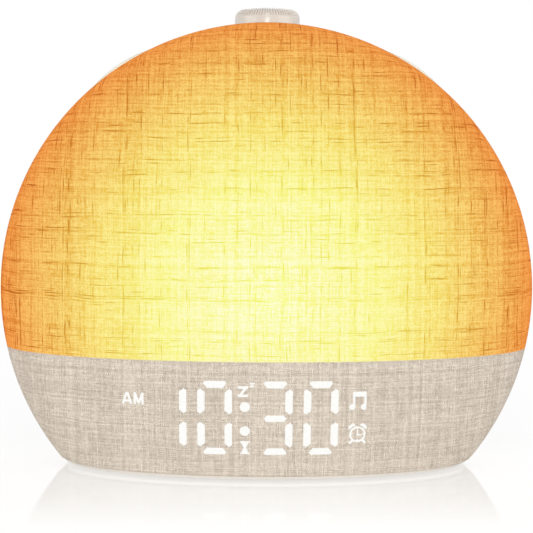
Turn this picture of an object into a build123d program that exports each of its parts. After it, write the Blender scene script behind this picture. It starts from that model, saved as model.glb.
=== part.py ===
from build123d import *
import math
import os

os.makedirs("parts", exist_ok=True)

# Sizes are in millimetres. The clock stands on z = 0 and its front looks along -Y.
# Whole body: a round front bulge on a seam plane, a shallow drum behind it, cut level underneath.
BODY_RADIUS = 95.0  # fabric outline at the seam
FRONT_DEPTH = 58.0  # bulge ahead of the seam
REAR_DEPTH = 38.0  # casing behind the seam
AXIS_RISE = 60.7  # body axis above the lower edge of the fabric
PARTING_DROP = 20.1  # lower edge of the lit part below the body axis
OVERRUN = 5.0  # how far a cut runs past the face it opens
GLUE_GAP = 0.2  # glue line or assembly gap between fixed pieces
SLIDE_GAP = 0.3  # clearance round a button in its hole
RUN_GAP = 0.05  # clearance round a turning shaft

# Fabric cover
FABRIC_THICKNESS = 0.8
HEM_ROUND = 2.0
HEM_WIDTH = 7.0

# Front shells
FRONT_WALL = 2.4
FLOOR_RING = 10.0  # floor left standing round the open underside
FLANGE_WIDTH = 6.0
FLANGE_DEPTH = 3.0
SHELF_WALL = 2.0
FRONT_BOSS_RADIUS = 3.5
FRONT_BOSS_DEPTH = 10.0
FRONT_BOSS_INSET = 9.5
FRONT_BOSS_ANGLES = (-125, -50, 50, 125)

# Rear casing
RIM_STEP = 0.4  # casing rim set in from the fabric
RIM_DRAFT = 1.0
BACK_ROUND = 18.0
CASING_WALL = 2.4
TUBE_RADIUS = 4.6
TUBE_INSET = 16.0
TUBE_ANGLES = (-112, -58, 58, 112)
TUBE_BORE = 3.2
TUBE_SEAT = 2.0

# Base
BASE_RIM = 1.0  # edge of the base plate that shows under the fabric
BASE_INSET = 1.2
SPIGOT_RISE = 1.6
PAD_PROUD = 0.8
PAD_RECESS = 0.8
PAD_LENGTH = 96.0
PAD_WIDTH = 46.0
PAD_SHIFT = 6.0  # pad behind the middle of the body
PAD_GAP = 0.6  # pad to the heads of the base screws
BASE_BOSS_RADIUS = 5.2
BASE_LUG_RADIUS = 4.2
BASE_BOSS_HEIGHT = 9.5
BASE_BOSS_STEP = 2.0  # boss centre inside the edge of the floor ring
BASE_BOSS_ANGLE = 25
REAR_BOSS_X = 58.0
REAR_BOSS_SETBACK = 16.0

# Screws
SHORT_HEAD_RADIUS = 2.6
SHORT_HEAD_HEIGHT = 1.5
SHORT_SHANK_RADIUS = 1.4
SHORT_SHANK_LENGTH = 8.0
BOARD_HEAD_RADIUS = 2.2
BOARD_HEAD_HEIGHT = 1.4
BOARD_SHANK_RADIUS = 1.1
BOARD_SHANK_LENGTH = 6.0
CASING_SHANK_LENGTH = 10.0
DRIVE_WIDTH = 0.7
SHANK_GAP = 0.2
PILOT_SPARE = 0.8

# Inner frame, reflector and lamp board
FRAME_WALL = 2.4
FRAME_OPENING = 72.0
FRAME_STEP = 4.0  # frame standing above the parting level
FRAME_BOSS_LENGTH = 9.0
WINDOW_WIDTH = 44.0
WINDOW_HEIGHT = 18.0
WINDOW_RISE = 21.0
DISH_WALL = 1.6
DISH_LIP = 6.0
DISH_TAPER = 29.0
DISH_DEPTH = 12.0
LAMP_BOARD_WIDTH = 52.0
LAMP_BOARD_HEIGHT = 40.0
LAMP_BOARD_CORNER = 4.0
LAMP_RISE = 8.5
LAMP_SIDE = 5.0
LAMP_HEIGHT = 1.6
LAMP_PITCH = 12.0
LAMP_COLUMN_SHARES = (-1.5, -0.5, 0.5, 1.5)
LAMP_ROW_SHARES = (-1, 0, 1)
LAMP_SCREW_EDGE = 3.4
LAMP_BOSS_RADIUS = 2.6
LAMP_BOSS_HEIGHT = 3.6
BOARD_THICKNESS = 1.6

# Display behind the fabric
DISPLAY_OFFSET = -7.5  # middle of the colon from the body's middle
DISPLAY_DROP = 39.5  # middle of the digits below the body axis
DIGIT_WIDTH = 11.7
DIGIT_HEIGHT = 25.8
SEGMENT_STROKE = 2.5
SEGMENT_GAP = 0.9
DIGIT_PITCH = 15.4
COLON_HALF = 10.1  # colon to the middle of the nearest digit
COLON_RADIUS = 1.7
COLON_RISE = 4.2
SIGN_CORNER = 0.6
AM_PLACE = (-38.0, 6.2)
AM_SIZE = (8.6, 5.4)
SNOOZE_PLACE = (0.1, 10.2)
SNOOZE_SIZE = (6.4, 5.6)
TIMER_PLACE = (-0.1, -10.4)
TIMER_SIZE = (4.4, 5.8)
NOTE_PLACE = (38.0, 6.0)
NOTE_SIZE = (7.2, 7.4)
ALARM_PLACE = (38.0, -5.6)
ALARM_SIZE = (7.8, 8.4)
PIPE_GAP = 0.1
PIPE_START = 1.6  # pipe's inner end ahead of the display board
DISPLAY_LAMP_SIDE = 1.6
DISPLAY_LAMP_HEIGHT = 0.8
DISPLAY_BOARD_SETBACK = 26.0  # front of the display board ahead of the seam
DISPLAY_BOARD_WIDTH = 100.0
DISPLAY_BOARD_HEIGHT = 31.0
LIGHT_BOX_WIDTH = 88.0
LIGHT_BOX_HEIGHT = 28.6
LIGHT_BOX_CORNER = 2.0
DISPLAY_POST_RADIUS = 2.6
DISPLAY_POST_EDGE = 3.0

# Knob on its rotary encoder
KNOB_DIAMETER = 23.6
KNOB_RISE = 6.0  # knob top above the fabric's top
KNOB_SETBACK = 16.5  # knob axis behind the seam
KNOB_ROUND = 3.8
KNOB_CROWN = 0.5
KNOB_WALL = 1.5
KNOB_HUB_RADIUS = 4.6
KNOB_TEETH = 72
TOOTH_DEPTH = 0.35
TOOTH_BAND = 3.0  # height of the serrated edge
TOOTH_SHARE = 0.62  # part of the pitch that a groove takes
TOOTH_START_SHARE = 0.7  # inner end of a groove on the crown
SEAT_RADIUS = 12.6
SEAT_DROP = 2.0  # flat seat below the fabric's top
SEAT_WALL = 4.0
SEAT_RIM = 1.2
KNOB_LIFT = 1.3  # knob's lower edge above the seat
ENCODER_SIDE = 12.0
ENCODER_HEIGHT = 6.6
BUSHING_RADIUS = 3.5
BUSHING_PROUD = 2.3
NUT_RADIUS = 5.4
NUT_HEIGHT = 1.6
SHAFT_RADIUS = 3.0
SHAFT_FLAT = 2.1  # flat of the shaft from its axis
ROTOR_RADIUS = 4.6
ROTOR_HEIGHT = 1.6
ROTOR_GAP = 0.3
ENCODER_FLOOR = 1.4
SHAFT_CLEAR = 1.2  # room under the shaft for its press
ENCODER_BOARD_LENGTH = 36.0
ENCODER_BOARD_WIDTH = 14.0
ENCODER_POST_EDGE = 3.4
POST_RADIUS = 2.6

# Rim buttons and their switches
BUTTON_ANGLE = 33.7
BUTTON_LENGTH = 26.0
BUTTON_WIDTH = 11.0
BUTTON_SETBACK = 12.0
BUTTON_PROUD = 1.7
BUTTON_CROWN = 50.0
BUTTON_EDGE = 0.8
BUTTON_LIP = 1.4
BUTTON_LIP_WALL = 1.2
BUTTON_STEM_RADIUS = 2.2
SWITCH_SIDE = 6.2
SWITCH_HEIGHT = 3.6
PLUNGER_RADIUS = 1.7
PLUNGER_REACH = 1.7
PLUNGER_SOCKET = 1.3
SWITCH_DROP = 8.0  # top of the rim switch below the casing's inner wall
SWITCH_BOARD_LENGTH = 42.0
SWITCH_BOARD_WIDTH = 11.0
SWITCH_POST_EDGE = 3.6

# Back panel: set buttons, inlet and grille
SET_NAMES = ("left", "middle", "right")
SET_SHARES = (-1, 0, 1)
SET_PITCH = 15.0
SET_OFFSET = -12.0
SET_RISE = 27.0
SET_RADIUS = 4.0
SET_LIP = 1.2
SET_LIP_WALL = 1.0
SET_PROUD = 0.6
SET_EDGE = 0.35
RECESS_DEPTH = 0.8
RECESS_LENGTH = 46.0
RECESS_HEIGHT = 15.0
GRILLE_RADIUS = 21.0
GRILLE_SLOTS = 11
GRILLE_PITCH = 3.9
GRILLE_SLOT = 2.1
JACK_OFFSET = 30.0
JACK_RISE = 24.0
JACK_WIDTH = 9.6
JACK_HEIGHT = 11.0
JACK_NOSE_RADIUS = 4.2
JACK_BORE_RADIUS = 3.2
JACK_BORE_DEPTH = 7.6
JACK_NOSE_SHY = 1.5  # nose below the back face
CRADLE_WALL = 1.2
CRADLE_TOP = 1.5  # cradle's edge above the inlet's axis
TAIL_WIDTH = 6.0
TAIL_GAP = 0.5  # socket's tail above the cradle's edge
PIN_RADIUS = 1.0
PIN_SHY = 2.8  # pin's tip below the mouth

# Main board and what it carries
MAIN_WIDTH = 100.0
MAIN_HEIGHT = 29.0
MAIN_RISE = 24.0
MAIN_STANDOFF = 9.0
MAIN_BOSS_EDGE = 4.0
MAIN_BOSS_RADIUS = 3.0
CHIP_SIDE = 8.0
CHIP_HEIGHT = 1.2
CHIP_START = 6.0
CHIP_PITCH = 10.0
CHIP_DROP = 4.0  # below the middle of the main board
CAPACITOR_RADIUS = 3.2
CAPACITOR_HEIGHT = 8.0
CAPACITOR_PITCH = 8.0
CAPACITOR_DROP = 4.0  # below the middle of the main board
CAPACITOR_SHARES = (-0.5, 0.5, 1.5)
INDUCTOR_SIDE = 8.0
INDUCTOR_HEIGHT = 4.5
CELL_RADIUS = 10.0
CELL_HEIGHT = 3.2
HOLDER_WALL = 1.4
HOLDER_FLOOR = 1.0
HOLDER_EDGE = 8.0  # holder from the end of the main board
PLUG_LENGTH = 10.0
PLUG_HEIGHT = 5.0
PLUG_PITCH = 11.5
PLUG_SHARES = (-1.5, -0.5, 0.5)  # speaker, lamp and encoder leads
PLUG_EDGE = 4.0

# Speaker on the back wall
SPEAKER_RISE = 14.0  # above the body axis
SPEAKER_SIDE = 52.0
SPEAKER_CORNER = 8.0
SPEAKER_SCREW_EDGE = 4.6
SPEAKER_STANDOFF = 4.0
SPEAKER_FLANGE = 1.4
SPEAKER_MOUTH = 22.0
BASKET_DEPTH = 6.6
BASKET_WALL = 1.2
BASKET_WINDOW_REACH = 8.0
BASKET_WINDOW_WIDTH = 5.0
BASKET_WINDOW_ANGLES = (45, 135, 225, 315)
MAGNET_RADIUS = 15.0
MAGNET_HEIGHT = 5.4
POLE_RADIUS = 6.6
COIL_RADIUS = 8.0
COIL_WALL = 0.5
COIL_GAP = 0.5
COIL_LENGTH = 4.4
CONE_RADIUS = 17.5
CONE_WALL = 0.7
CONE_DEPTH = 3.4
CAP_RISE = 2.0
SURROUND_ROLL = 1.5
SURROUND_WALL = 0.5
SURROUND_LAND = 2.0
SURROUND_GAP = 0.1
GASKET_WIDTH = 2.6

# Leads held inside
RIBBON_WIDTH = 9.0
RIBBON_THICKNESS = 0.5
RIBBON_SAG = 6.0
RIBBON_RUN_SHARES = (0, 0.22, 0.38, 0.66, 0.82, 1)
RIBBON_SAG_SHARES = (0, 0, 1, 1, 0, 0)
LEAD_RADIUS = 0.8
LEAD_BEND = 2.4
LEAD_DROP = 3.0
SWITCH_LEAD_SAG = 3.0
SWITCH_LEAD_GAP = 0.9

# Levels and places that follow
SEAM_Y = (FRONT_DEPTH - REAR_DEPTH) / 2
FRONT_Y = SEAM_Y - FRONT_DEPTH
BACK_Y = SEAM_Y + REAR_DEPTH
WALL_Y = BACK_Y - CASING_WALL
FABRIC_Z = PAD_PROUD + BASE_RIM
AXIS_Z = FABRIC_Z + AXIS_RISE
PARTING_Z = AXIS_Z - PARTING_DROP
SHELL_INSET = FABRIC_THICKNESS + GLUE_GAP
SHELL_Z = FABRIC_Z + SHELL_INSET
FLOOR_Z = SHELL_Z + FRONT_WALL
SPIGOT_Z = FABRIC_Z + SPIGOT_RISE
RIM_RADIUS = BODY_RADIUS - RIM_STEP
RIM_INNER = RIM_RADIUS - CASING_WALL
SPAN = 4 * BODY_RADIUS
BODY_AXIS = Axis((0, 0, AXIS_Z), (0, 1, 0))
FRAME_Y = SEAM_Y + FRAME_WALL
FRONT_BOSS_CIRCLE = BODY_RADIUS - FRONT_BOSS_INSET
TUBE_CIRCLE = RIM_RADIUS - TUBE_INSET
TUBE_Y = FRAME_Y + FRAME_BOSS_LENGTH
DISH_Y = SEAM_Y + DISH_DEPTH
DISH_FLOOR_Z = PARTING_Z + FRAME_STEP + GLUE_GAP
LAMP_Z = AXIS_Z + LAMP_RISE
LAMP_Y = DISH_Y - DISH_WALL - BOARD_THICKNESS
DISPLAY_Z = AXIS_Z - DISPLAY_DROP
DISPLAY_Y = SEAM_Y - DISPLAY_BOARD_SETBACK
KNOB_Y = SEAM_Y + KNOB_SETBACK
SEAT_Z = AXIS_Z + BODY_RADIUS - SEAT_DROP
KNOB_Z = SEAT_Z + KNOB_LIFT
KNOB_TOP = AXIS_Z + BODY_RADIUS + KNOB_RISE
ENCODER_Z = SEAT_Z - SEAT_WALL
ENCODER_BOARD_Z = ENCODER_Z - ENCODER_HEIGHT
BUTTON_Y = SEAM_Y + BUTTON_SETBACK
SWITCH_TOP = AXIS_Z + RIM_INNER - SWITCH_DROP
SWITCH_BOARD_Z = SWITCH_TOP - SWITCH_HEIGHT
RECESS_Y = BACK_Y - RECESS_DEPTH
MAIN_Y = WALL_Y - MAIN_STANDOFF
MAIN_FRONT = MAIN_Y - BOARD_THICKNESS
MAIN_TOP = MAIN_RISE + MAIN_HEIGHT / 2
CRADLE_Y = MAIN_Y + GLUE_GAP
CRADLE_FRONT = CRADLE_Y + CRADLE_WALL
PLUG_Z = MAIN_TOP - PLUG_EDGE
SPEAKER_Z = AXIS_Z + SPEAKER_RISE
SPEAKER_Y = WALL_Y - SPEAKER_STANDOFF
SPEAKER_AXIS = Axis((0, 0, SPEAKER_Z), (0, 1, 0))
RIBBON_X = DISPLAY_OFFSET
RIBBON_Z = DISPLAY_Z


def above(level):
    """Everything over a level."""
    return Pos(0, 0, level + SPAN / 2) * Box(SPAN, SPAN, SPAN)


def below(level):
    """Everything under a level."""
    return Pos(0, 0, level - SPAN / 2) * Box(SPAN, SPAN, SPAN)


def ahead(depth):
    """Everything nearer to the front than a depth."""
    return Pos(0, depth - SPAN / 2, 0) * Box(SPAN, SPAN, SPAN)


def brick(width, depth, height, x, y, z):
    """Box about its middle."""
    return Pos(x, y, z) * Box(width, depth, height)


def level_rod(radius, x, z, y_from, y_to):
    """Cylinder along Y."""
    return Pos(x, (y_from + y_to) / 2, z) * Rot(90, 0, 0) * Cylinder(radius, abs(y_to - y_from))


def upright_rod(radius, x, y, z_from, z_to):
    """Cylinder along Z."""
    return Pos(x, y, (z_from + z_to) / 2) * Cylinder(radius, z_to - z_from)


def level_plate(sketch, x, z, y_from, y_to):
    """Outline drawn on the X and Z axes, carried along Y."""
    plane = Plane(origin=(x, y_from, z), x_dir=(1, 0, 0), z_dir=(0, -1, 0))
    return extrude(plane * sketch, y_from - y_to)


def turned(points, axis):
    """Ring turned about an axis along Y, from points given as radius and depth."""
    outline = Polyline(*points, close=True)
    return revolve(Pos(0, 0, axis.position.Z) * make_face(outline), axis)


def polar(radius, angle):
    """Place round the body axis, measured from the top towards +X."""
    turn = math.radians(angle)
    return radius * math.sin(turn), AXIS_Z + radius * math.cos(turn)


def corners(width, height):
    """Four places about a middle."""
    return [(sx * width / 2, sz * height / 2) for sx in (-1, 1) for sz in (-1, 1)]


def front_half(inset):
    """Front bulge, drawn in all over by an inset."""
    reach = BODY_RADIUS - inset
    depth = FRONT_DEPTH - inset
    corner = (reach, SEAM_Y - depth)
    arc = Bezier((0, SEAM_Y - depth), corner, (reach, SEAM_Y), weights=(1, math.sqrt(0.5), 1))
    outline = arc + Polyline((reach, SEAM_Y), (0, SEAM_Y), (0, SEAM_Y - depth))
    return revolve(Pos(0, 0, AXIS_Z) * make_face(outline), BODY_AXIS)


def front_body(inset, level, rounding):
    """Front bulge with its level underside and the rounded edge of that underside."""
    body = front_half(inset) & above(level)
    floor = body.faces().sort_by(Axis.Z)[0]
    rim = [edge for edge in floor.edges() if edge.geom_type != GeomType.LINE]
    return fillet(rim, rounding)


def rear_half(inset):
    """Drum behind the seam, drawn in by an inset at its rim and back."""
    rim = RIM_RADIUS - inset
    back = BACK_Y - inset
    outline = make_face(Polyline((0, SEAM_Y), (rim, SEAM_Y), (rim - RIM_DRAFT, back), (0, back), close=True))
    edge = outline.vertices().sort_by(Axis.X)[-2:].sort_by(Axis.Y)[-1]
    return revolve(Pos(0, 0, AXIS_Z) * fillet(edge, BACK_ROUND - inset), BODY_AXIS)


def screw(head_radius, head_height, shank_radius, shank_length):
    """Pan-head screw, its head resting on z = 0 and its shank pointing down."""
    body = Pos(0, 0, head_height / 2) * Cylinder(head_radius, head_height)
    body += Pos(0, 0, -shank_length / 2) * Cylinder(shank_radius, shank_length)
    for turn in (0, 90):
        body -= Pos(0, 0, head_height) * Rot(0, 0, turn) * Box(2 * shank_radius, DRIVE_WIDTH, head_height)
    return body


def fabric_cover():
    """Linen skin over the whole front, hemmed under the bottom edge."""
    lining = front_body(FABRIC_THICKNESS, FABRIC_Z + FABRIC_THICKNESS, HEM_ROUND - FABRIC_THICKNESS)
    skin = front_body(0, FABRIC_Z, HEM_ROUND) - lining
    return skin - (front_half(HEM_WIDTH) & below(FABRIC_Z + OVERRUN))


def front_shell(solid, hollow, cut_level):
    """Wall of a front shell with the flat flange that meets the inner frame."""
    shell = solid - (hollow & ahead(SEAM_Y - FLANGE_DEPTH))
    inner = BODY_RADIUS - SHELL_INSET - FRONT_WALL - FLANGE_WIDTH
    opening = level_rod(inner, 0, AXIS_Z, SEAM_Y - FLANGE_DEPTH - OVERRUN, SEAM_Y + OVERRUN)
    return shell - (opening & above(cut_level))


def front_bosses(radius, depth):
    """Rods at the places where the inner frame is screwed to the front."""
    places = [polar(FRONT_BOSS_CIRCLE, angle) for angle in FRONT_BOSS_ANGLES]
    return [level_rod(radius, x, z, SEAM_Y - depth, SEAM_Y) for x, z in places]


def light_diffuser():
    """Translucent dome behind the lit part of the fabric."""
    shell = front_shell(front_half(SHELL_INSET), front_half(SHELL_INSET + FRONT_WALL), PARTING_Z)
    shell += front_bosses(FRONT_BOSS_RADIUS, FRONT_BOSS_DEPTH)
    shell -= front_bosses(SHORT_SHANK_RADIUS, FRONT_BOSS_DEPTH - PILOT_SPARE)
    return shell & above(PARTING_Z)


def segment(length, stroke):
    """Display segment with pointed ends, lying along X."""
    half = length / 2
    shoulder = half - stroke / 2
    edge = stroke / 2
    points = [(-half, 0), (-shoulder, edge), (shoulder, edge)]
    points += [(half, 0), (shoulder, -edge), (-shoulder, -edge)]
    return make_face(Polyline(*points, close=True))


def digit_outlines(grow):
    """Seven segments of one digit about its middle, each grown by a margin."""
    across = DIGIT_WIDTH - SEGMENT_STROKE
    rise = (DIGIT_HEIGHT - SEGMENT_STROKE) / 2
    stroke = SEGMENT_STROKE + 2 * grow
    flat = segment(across - SEGMENT_GAP + 2 * grow, stroke)
    tall = Rot(0, 0, 90) * segment(rise - SEGMENT_GAP + 2 * grow, stroke)
    level = [Pos(0, share * rise) * flat for share in (-1, 0, 1)]
    sides = [(-1, -1), (-1, 1), (1, -1), (1, 1)]
    return level + [Pos(sx * across / 2, sz * rise / 2) * tall for sx, sz in sides]


def display_outlines(grow):
    """Every lit shape of the display about the colon's middle: digits, colon and signs."""
    far = COLON_HALF + DIGIT_PITCH
    shapes = []
    for x in (-far, -COLON_HALF, COLON_HALF, far):
        shapes += [Pos(x, 0) * shape for shape in digit_outlines(grow)]
    shapes += [Pos(0, sz * COLON_RISE) * Circle(COLON_RADIUS + grow) for sz in (-1, 1)]
    signs = [(AM_PLACE, AM_SIZE), (SNOOZE_PLACE, SNOOZE_SIZE), (TIMER_PLACE, TIMER_SIZE)]
    signs += [(NOTE_PLACE, NOTE_SIZE), (ALARM_PLACE, ALARM_SIZE)]
    for place, size in signs:
        outline = RectangleRounded(size[0] + 2 * grow, size[1] + 2 * grow, SIGN_CORNER + grow)
        shapes.append(Pos(*place) * outline)
    return shapes


def display_prisms(grow, y_from, y_to):
    """The display's lit shapes as separate prisms along Y."""
    return [level_plate(shape, DISPLAY_OFFSET, DISPLAY_Z, y_from, y_to) for shape in display_outlines(grow)]


def display_post_places():
    """Corners of the display board where it is screwed down."""
    edge = 2 * DISPLAY_POST_EDGE
    places = corners(DISPLAY_BOARD_WIDTH - edge, DISPLAY_BOARD_HEIGHT - edge)
    return [(DISPLAY_OFFSET + x, DISPLAY_Z + z) for x, z in places]


def base_boss_places():
    """Places of the base screws, front pair on the floor ring's curve and rear pair."""
    inset = FLOOR_RING + BASE_BOSS_STEP
    cut = math.sqrt(1 - (AXIS_RISE / (BODY_RADIUS - inset)) ** 2)
    turn = math.radians(BASE_BOSS_ANGLE)
    x = (BODY_RADIUS - inset) * cut * math.cos(turn)
    y = SEAM_Y - (FRONT_DEPTH - inset) * cut * math.sin(turn)
    rear = BACK_Y - REAR_BOSS_SETBACK
    return [(-x, y), (x, y), (-REAR_BOSS_X, rear), (REAR_BOSS_X, rear)]


def base_bosses(radius, z_from, z_to):
    """Rods at the base screws, front pair first."""
    return [upright_rod(radius, x, y, z_from, z_to) for x, y in base_boss_places()]


def front_fascia():
    """Opaque lower front with the display windows, shelf, posts and base bosses."""
    hollow = front_half(SHELL_INSET + FRONT_WALL) & above(FLOOR_Z)
    shell = front_shell(front_body(SHELL_INSET, SHELL_Z, HEM_ROUND - SHELL_INSET), hollow, FLOOR_Z)
    shell -= front_half(FLOOR_RING) & below(FLOOR_Z + OVERRUN)
    shell += front_bosses(FRONT_BOSS_RADIUS, FRONT_BOSS_DEPTH)
    shell -= base_bosses(BASE_LUG_RADIUS + GLUE_GAP, FABRIC_Z, SPIGOT_Z)[:2]
    shell += base_bosses(BASE_BOSS_RADIUS, SPIGOT_Z, SPIGOT_Z + BASE_BOSS_HEIGHT)[:2]
    shell += front_half(SHELL_INSET) & above(PARTING_Z - SHELF_WALL)
    skin = front_half(SHELL_INSET)
    posts = [level_rod(DISPLAY_POST_RADIUS, x, z, FRONT_Y, DISPLAY_Y) for x, z in display_post_places()]
    shell += [post & skin for post in posts]
    shell = shell & below(PARTING_Z)
    shell -= front_bosses(SHORT_SHANK_RADIUS, FRONT_BOSS_DEPTH - PILOT_SPARE)
    shell -= base_bosses(SHORT_SHANK_RADIUS, FABRIC_Z, SPIGOT_Z + BASE_BOSS_HEIGHT - PILOT_SPARE)[:2]
    depth = DISPLAY_Y - BOARD_SHANK_LENGTH
    shell -= [level_rod(BOARD_SHANK_RADIUS, x, z, depth, DISPLAY_Y) for x, z in display_post_places()]
    return shell - display_prisms(PIPE_GAP, FRONT_Y, DISPLAY_Y)


def inner_frame():
    """Plate between front and casing, open above for the reflector and below for the ribbon."""
    plate = level_rod(RIM_INNER - GLUE_GAP, 0, AXIS_Z, SEAM_Y, FRAME_Y) & above(FLOOR_Z + GLUE_GAP)
    plate -= level_rod(FRAME_OPENING, 0, AXIS_Z, SEAM_Y, FRAME_Y) & above(PARTING_Z + FRAME_STEP)
    plate -= brick(WINDOW_WIDTH, SPAN, WINDOW_HEIGHT, RIBBON_X, 0, WINDOW_RISE)
    for angle in TUBE_ANGLES:
        x, z = polar(TUBE_CIRCLE, angle)
        plate += level_rod(TUBE_RADIUS, x, z, SEAM_Y, TUBE_Y)
        plate -= level_rod(SHORT_SHANK_RADIUS, x, z, SEAM_Y + PILOT_SPARE, TUBE_Y)
    return plate - front_bosses(SHORT_SHANK_RADIUS + SHANK_GAP, -FRAME_WALL)


def lamp_screw_places():
    """Corners of the lamp board where it is screwed down."""
    edge = 2 * LAMP_SCREW_EDGE
    return [(x, LAMP_Z + z) for x, z in corners(LAMP_BOARD_WIDTH - edge, LAMP_BOARD_HEIGHT - edge)]


def reflector():
    """White dish that throws the lamps' light forward, with its lip on the inner frame."""
    mouth = FRAME_OPENING - DISH_WALL
    floor = mouth - DISH_TAPER
    outside = [(0, SEAM_Y), (mouth, SEAM_Y), (floor, DISH_Y), (0, DISH_Y)]
    solid = turned(outside, BODY_AXIS) & above(DISH_FLOOR_Z)
    lip = level_rod(FRAME_OPENING + DISH_LIP, 0, AXIS_Z, SEAM_Y - DISH_WALL, SEAM_Y)
    lip = lip & above(PARTING_Z + GLUE_GAP)
    inside = [(0, SEAM_Y - DISH_WALL), (mouth, SEAM_Y - DISH_WALL)]
    inside += [(floor, DISH_Y - DISH_WALL), (0, DISH_Y - DISH_WALL)]
    dish = solid + lip - (turned(inside, BODY_AXIS) & above(DISH_FLOOR_Z + DISH_WALL))
    for x, z in lamp_screw_places():
        dish += level_rod(LAMP_BOSS_RADIUS, x, z, DISH_Y - DISH_WALL, DISH_Y + LAMP_BOSS_HEIGHT)
        dish -= level_rod(BOARD_SHANK_RADIUS, x, z, DISH_Y - DISH_WALL, DISH_Y + LAMP_BOSS_HEIGHT)
    opening = PLUG_LENGTH + 2 * GLUE_GAP
    depth = DISH_Y + SPAN / 2 - OVERRUN
    return dish - brick(opening, SPAN, PLUG_HEIGHT + 2 * GLUE_GAP, lamp_lead_x(), depth, lamp_plug_z())


def lamp_plug_z():
    """Height of the lamp board's connector."""
    return LAMP_Z - LAMP_BOARD_HEIGHT / 2 + PLUG_EDGE


def board(width, height, corner, x, z, y_from, holes):
    """Upright circuit board with its screw holes."""
    sheet = level_plate(RectangleRounded(width, height, corner), x, z, y_from, y_from + BOARD_THICKNESS)
    for hole_x, hole_z in holes:
        sheet -= level_rod(BOARD_SHANK_RADIUS + SHANK_GAP, hole_x, hole_z, y_from, y_from + BOARD_THICKNESS)
    return sheet


def lamp_board():
    """Board of the lamps in the reflector."""
    places = lamp_screw_places()
    return board(LAMP_BOARD_WIDTH, LAMP_BOARD_HEIGHT, LAMP_BOARD_CORNER, 0, LAMP_Z, LAMP_Y, places)


def lamps():
    """Colour lamps in rows on the lamp board."""
    y = LAMP_Y - LAMP_HEIGHT / 2
    columns = [LAMP_PITCH * share for share in LAMP_COLUMN_SHARES]
    rows = [LAMP_Z + LAMP_PITCH * share for share in LAMP_ROW_SHARES]
    places = [(x, z) for x in columns for z in rows]
    return [brick(LAMP_SIDE, LAMP_HEIGHT, LAMP_SIDE, x, y, z) for x, z in places]


def display_board():
    """Board that carries the display lamps and the light box."""
    size = (DISPLAY_BOARD_WIDTH, DISPLAY_BOARD_HEIGHT, DISPLAY_POST_EDGE)
    return board(*size, DISPLAY_OFFSET, DISPLAY_Z, DISPLAY_Y, display_post_places())


def display_lamps():
    """One small lamp behind each lit shape."""
    y = DISPLAY_Y - DISPLAY_LAMP_HEIGHT / 2
    side = DISPLAY_LAMP_SIDE
    middles = [shape.center() for shape in display_outlines(0)]
    return [brick(side, DISPLAY_LAMP_HEIGHT, side, DISPLAY_OFFSET + m.X, y, DISPLAY_Z + m.Y) for m in middles]


def display_light_box():
    """Black block with a well for each lit shape, shaped to the inside of the fascia."""
    outline = RectangleRounded(LIGHT_BOX_WIDTH, LIGHT_BOX_HEIGHT, LIGHT_BOX_CORNER)
    block = level_plate(outline, DISPLAY_OFFSET, DISPLAY_Z, FRONT_Y, DISPLAY_Y)
    block = block & front_half(SHELL_INSET + FRONT_WALL + GLUE_GAP)
    return block - display_prisms(PIPE_GAP, FRONT_Y, DISPLAY_Y)


def display_light_pipes():
    """Clear pipes from the wells to the back of the fabric."""
    skin = front_half(SHELL_INSET)
    return [prism & skin for prism in display_prisms(0, FRONT_Y, DISPLAY_Y - PIPE_START)]


def rim_slot(grow, z_from, z_to):
    """Upright prism of a rim button's outline, standing at the top of the rim."""
    outline = SlotOverall(BUTTON_LENGTH + 2 * grow, BUTTON_WIDTH + 2 * grow)
    return extrude(Pos(0, BUTTON_Y, z_from) * outline, z_to - z_from)


def round_rim(pieces):
    """Pieces drawn at the top of the rim, carried to both button places."""
    return [piece.rotate(BODY_AXIS, side * BUTTON_ANGLE) for side in (-1, 1) for piece in pieces]


def switch_post_xs():
    """Places of the switch board's two posts along the board."""
    reach = SWITCH_BOARD_LENGTH / 2 - SWITCH_POST_EDGE
    return [-reach, reach]


def encoder_post_xs():
    """Places of the encoder board's two posts along the board."""
    reach = ENCODER_BOARD_LENGTH / 2 - ENCODER_POST_EDGE
    return [-reach, reach]


def set_button_xs():
    """Places of the set buttons along the back."""
    return [SET_OFFSET + share * SET_PITCH for share in SET_SHARES]


def speaker_screw_places():
    """Corners of the speaker's flange."""
    side = SPEAKER_SIDE - 2 * SPEAKER_SCREW_EDGE
    return [(x, SPEAKER_Z + z) for x, z in corners(side, side)]


def main_boss_places():
    """Corners of the main board where it is screwed down."""
    edge = 2 * MAIN_BOSS_EDGE
    return [(x, MAIN_RISE + z) for x, z in corners(MAIN_WIDTH - edge, MAIN_HEIGHT - edge)]


def grille_slots():
    """Upright slots that fill a round grille."""
    slots = []
    for index in range(GRILLE_SLOTS):
        x = (index - (GRILLE_SLOTS - 1) / 2) * GRILLE_PITCH
        tall = 2 * math.sqrt(GRILLE_RADIUS ** 2 - x ** 2)
        outline = Rot(0, 0, 90) * SlotOverall(tall, GRILLE_SLOT)
        slots.append(level_plate(outline, x, SPEAKER_Z, WALL_Y - OVERRUN, BACK_Y + OVERRUN))
    return slots


def casing_shell():
    """Drum wall, back wall and floor ring of the rear casing."""
    shell = rear_half(0) & above(FABRIC_Z)
    rim = [edge for edge in shell.faces().sort_by(Axis.Z)[0].edges() if edge.center().Y > SEAM_Y + GLUE_GAP]
    shell = fillet(rim, HEM_ROUND) - (rear_half(CASING_WALL) & above(FABRIC_Z + CASING_WALL))
    shell -= rear_half(FLOOR_RING) & below(FABRIC_Z + CASING_WALL + OVERRUN)
    return shell - base_bosses(BASE_LUG_RADIUS + GLUE_GAP, FABRIC_Z, SPIGOT_Z)[2:]


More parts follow.
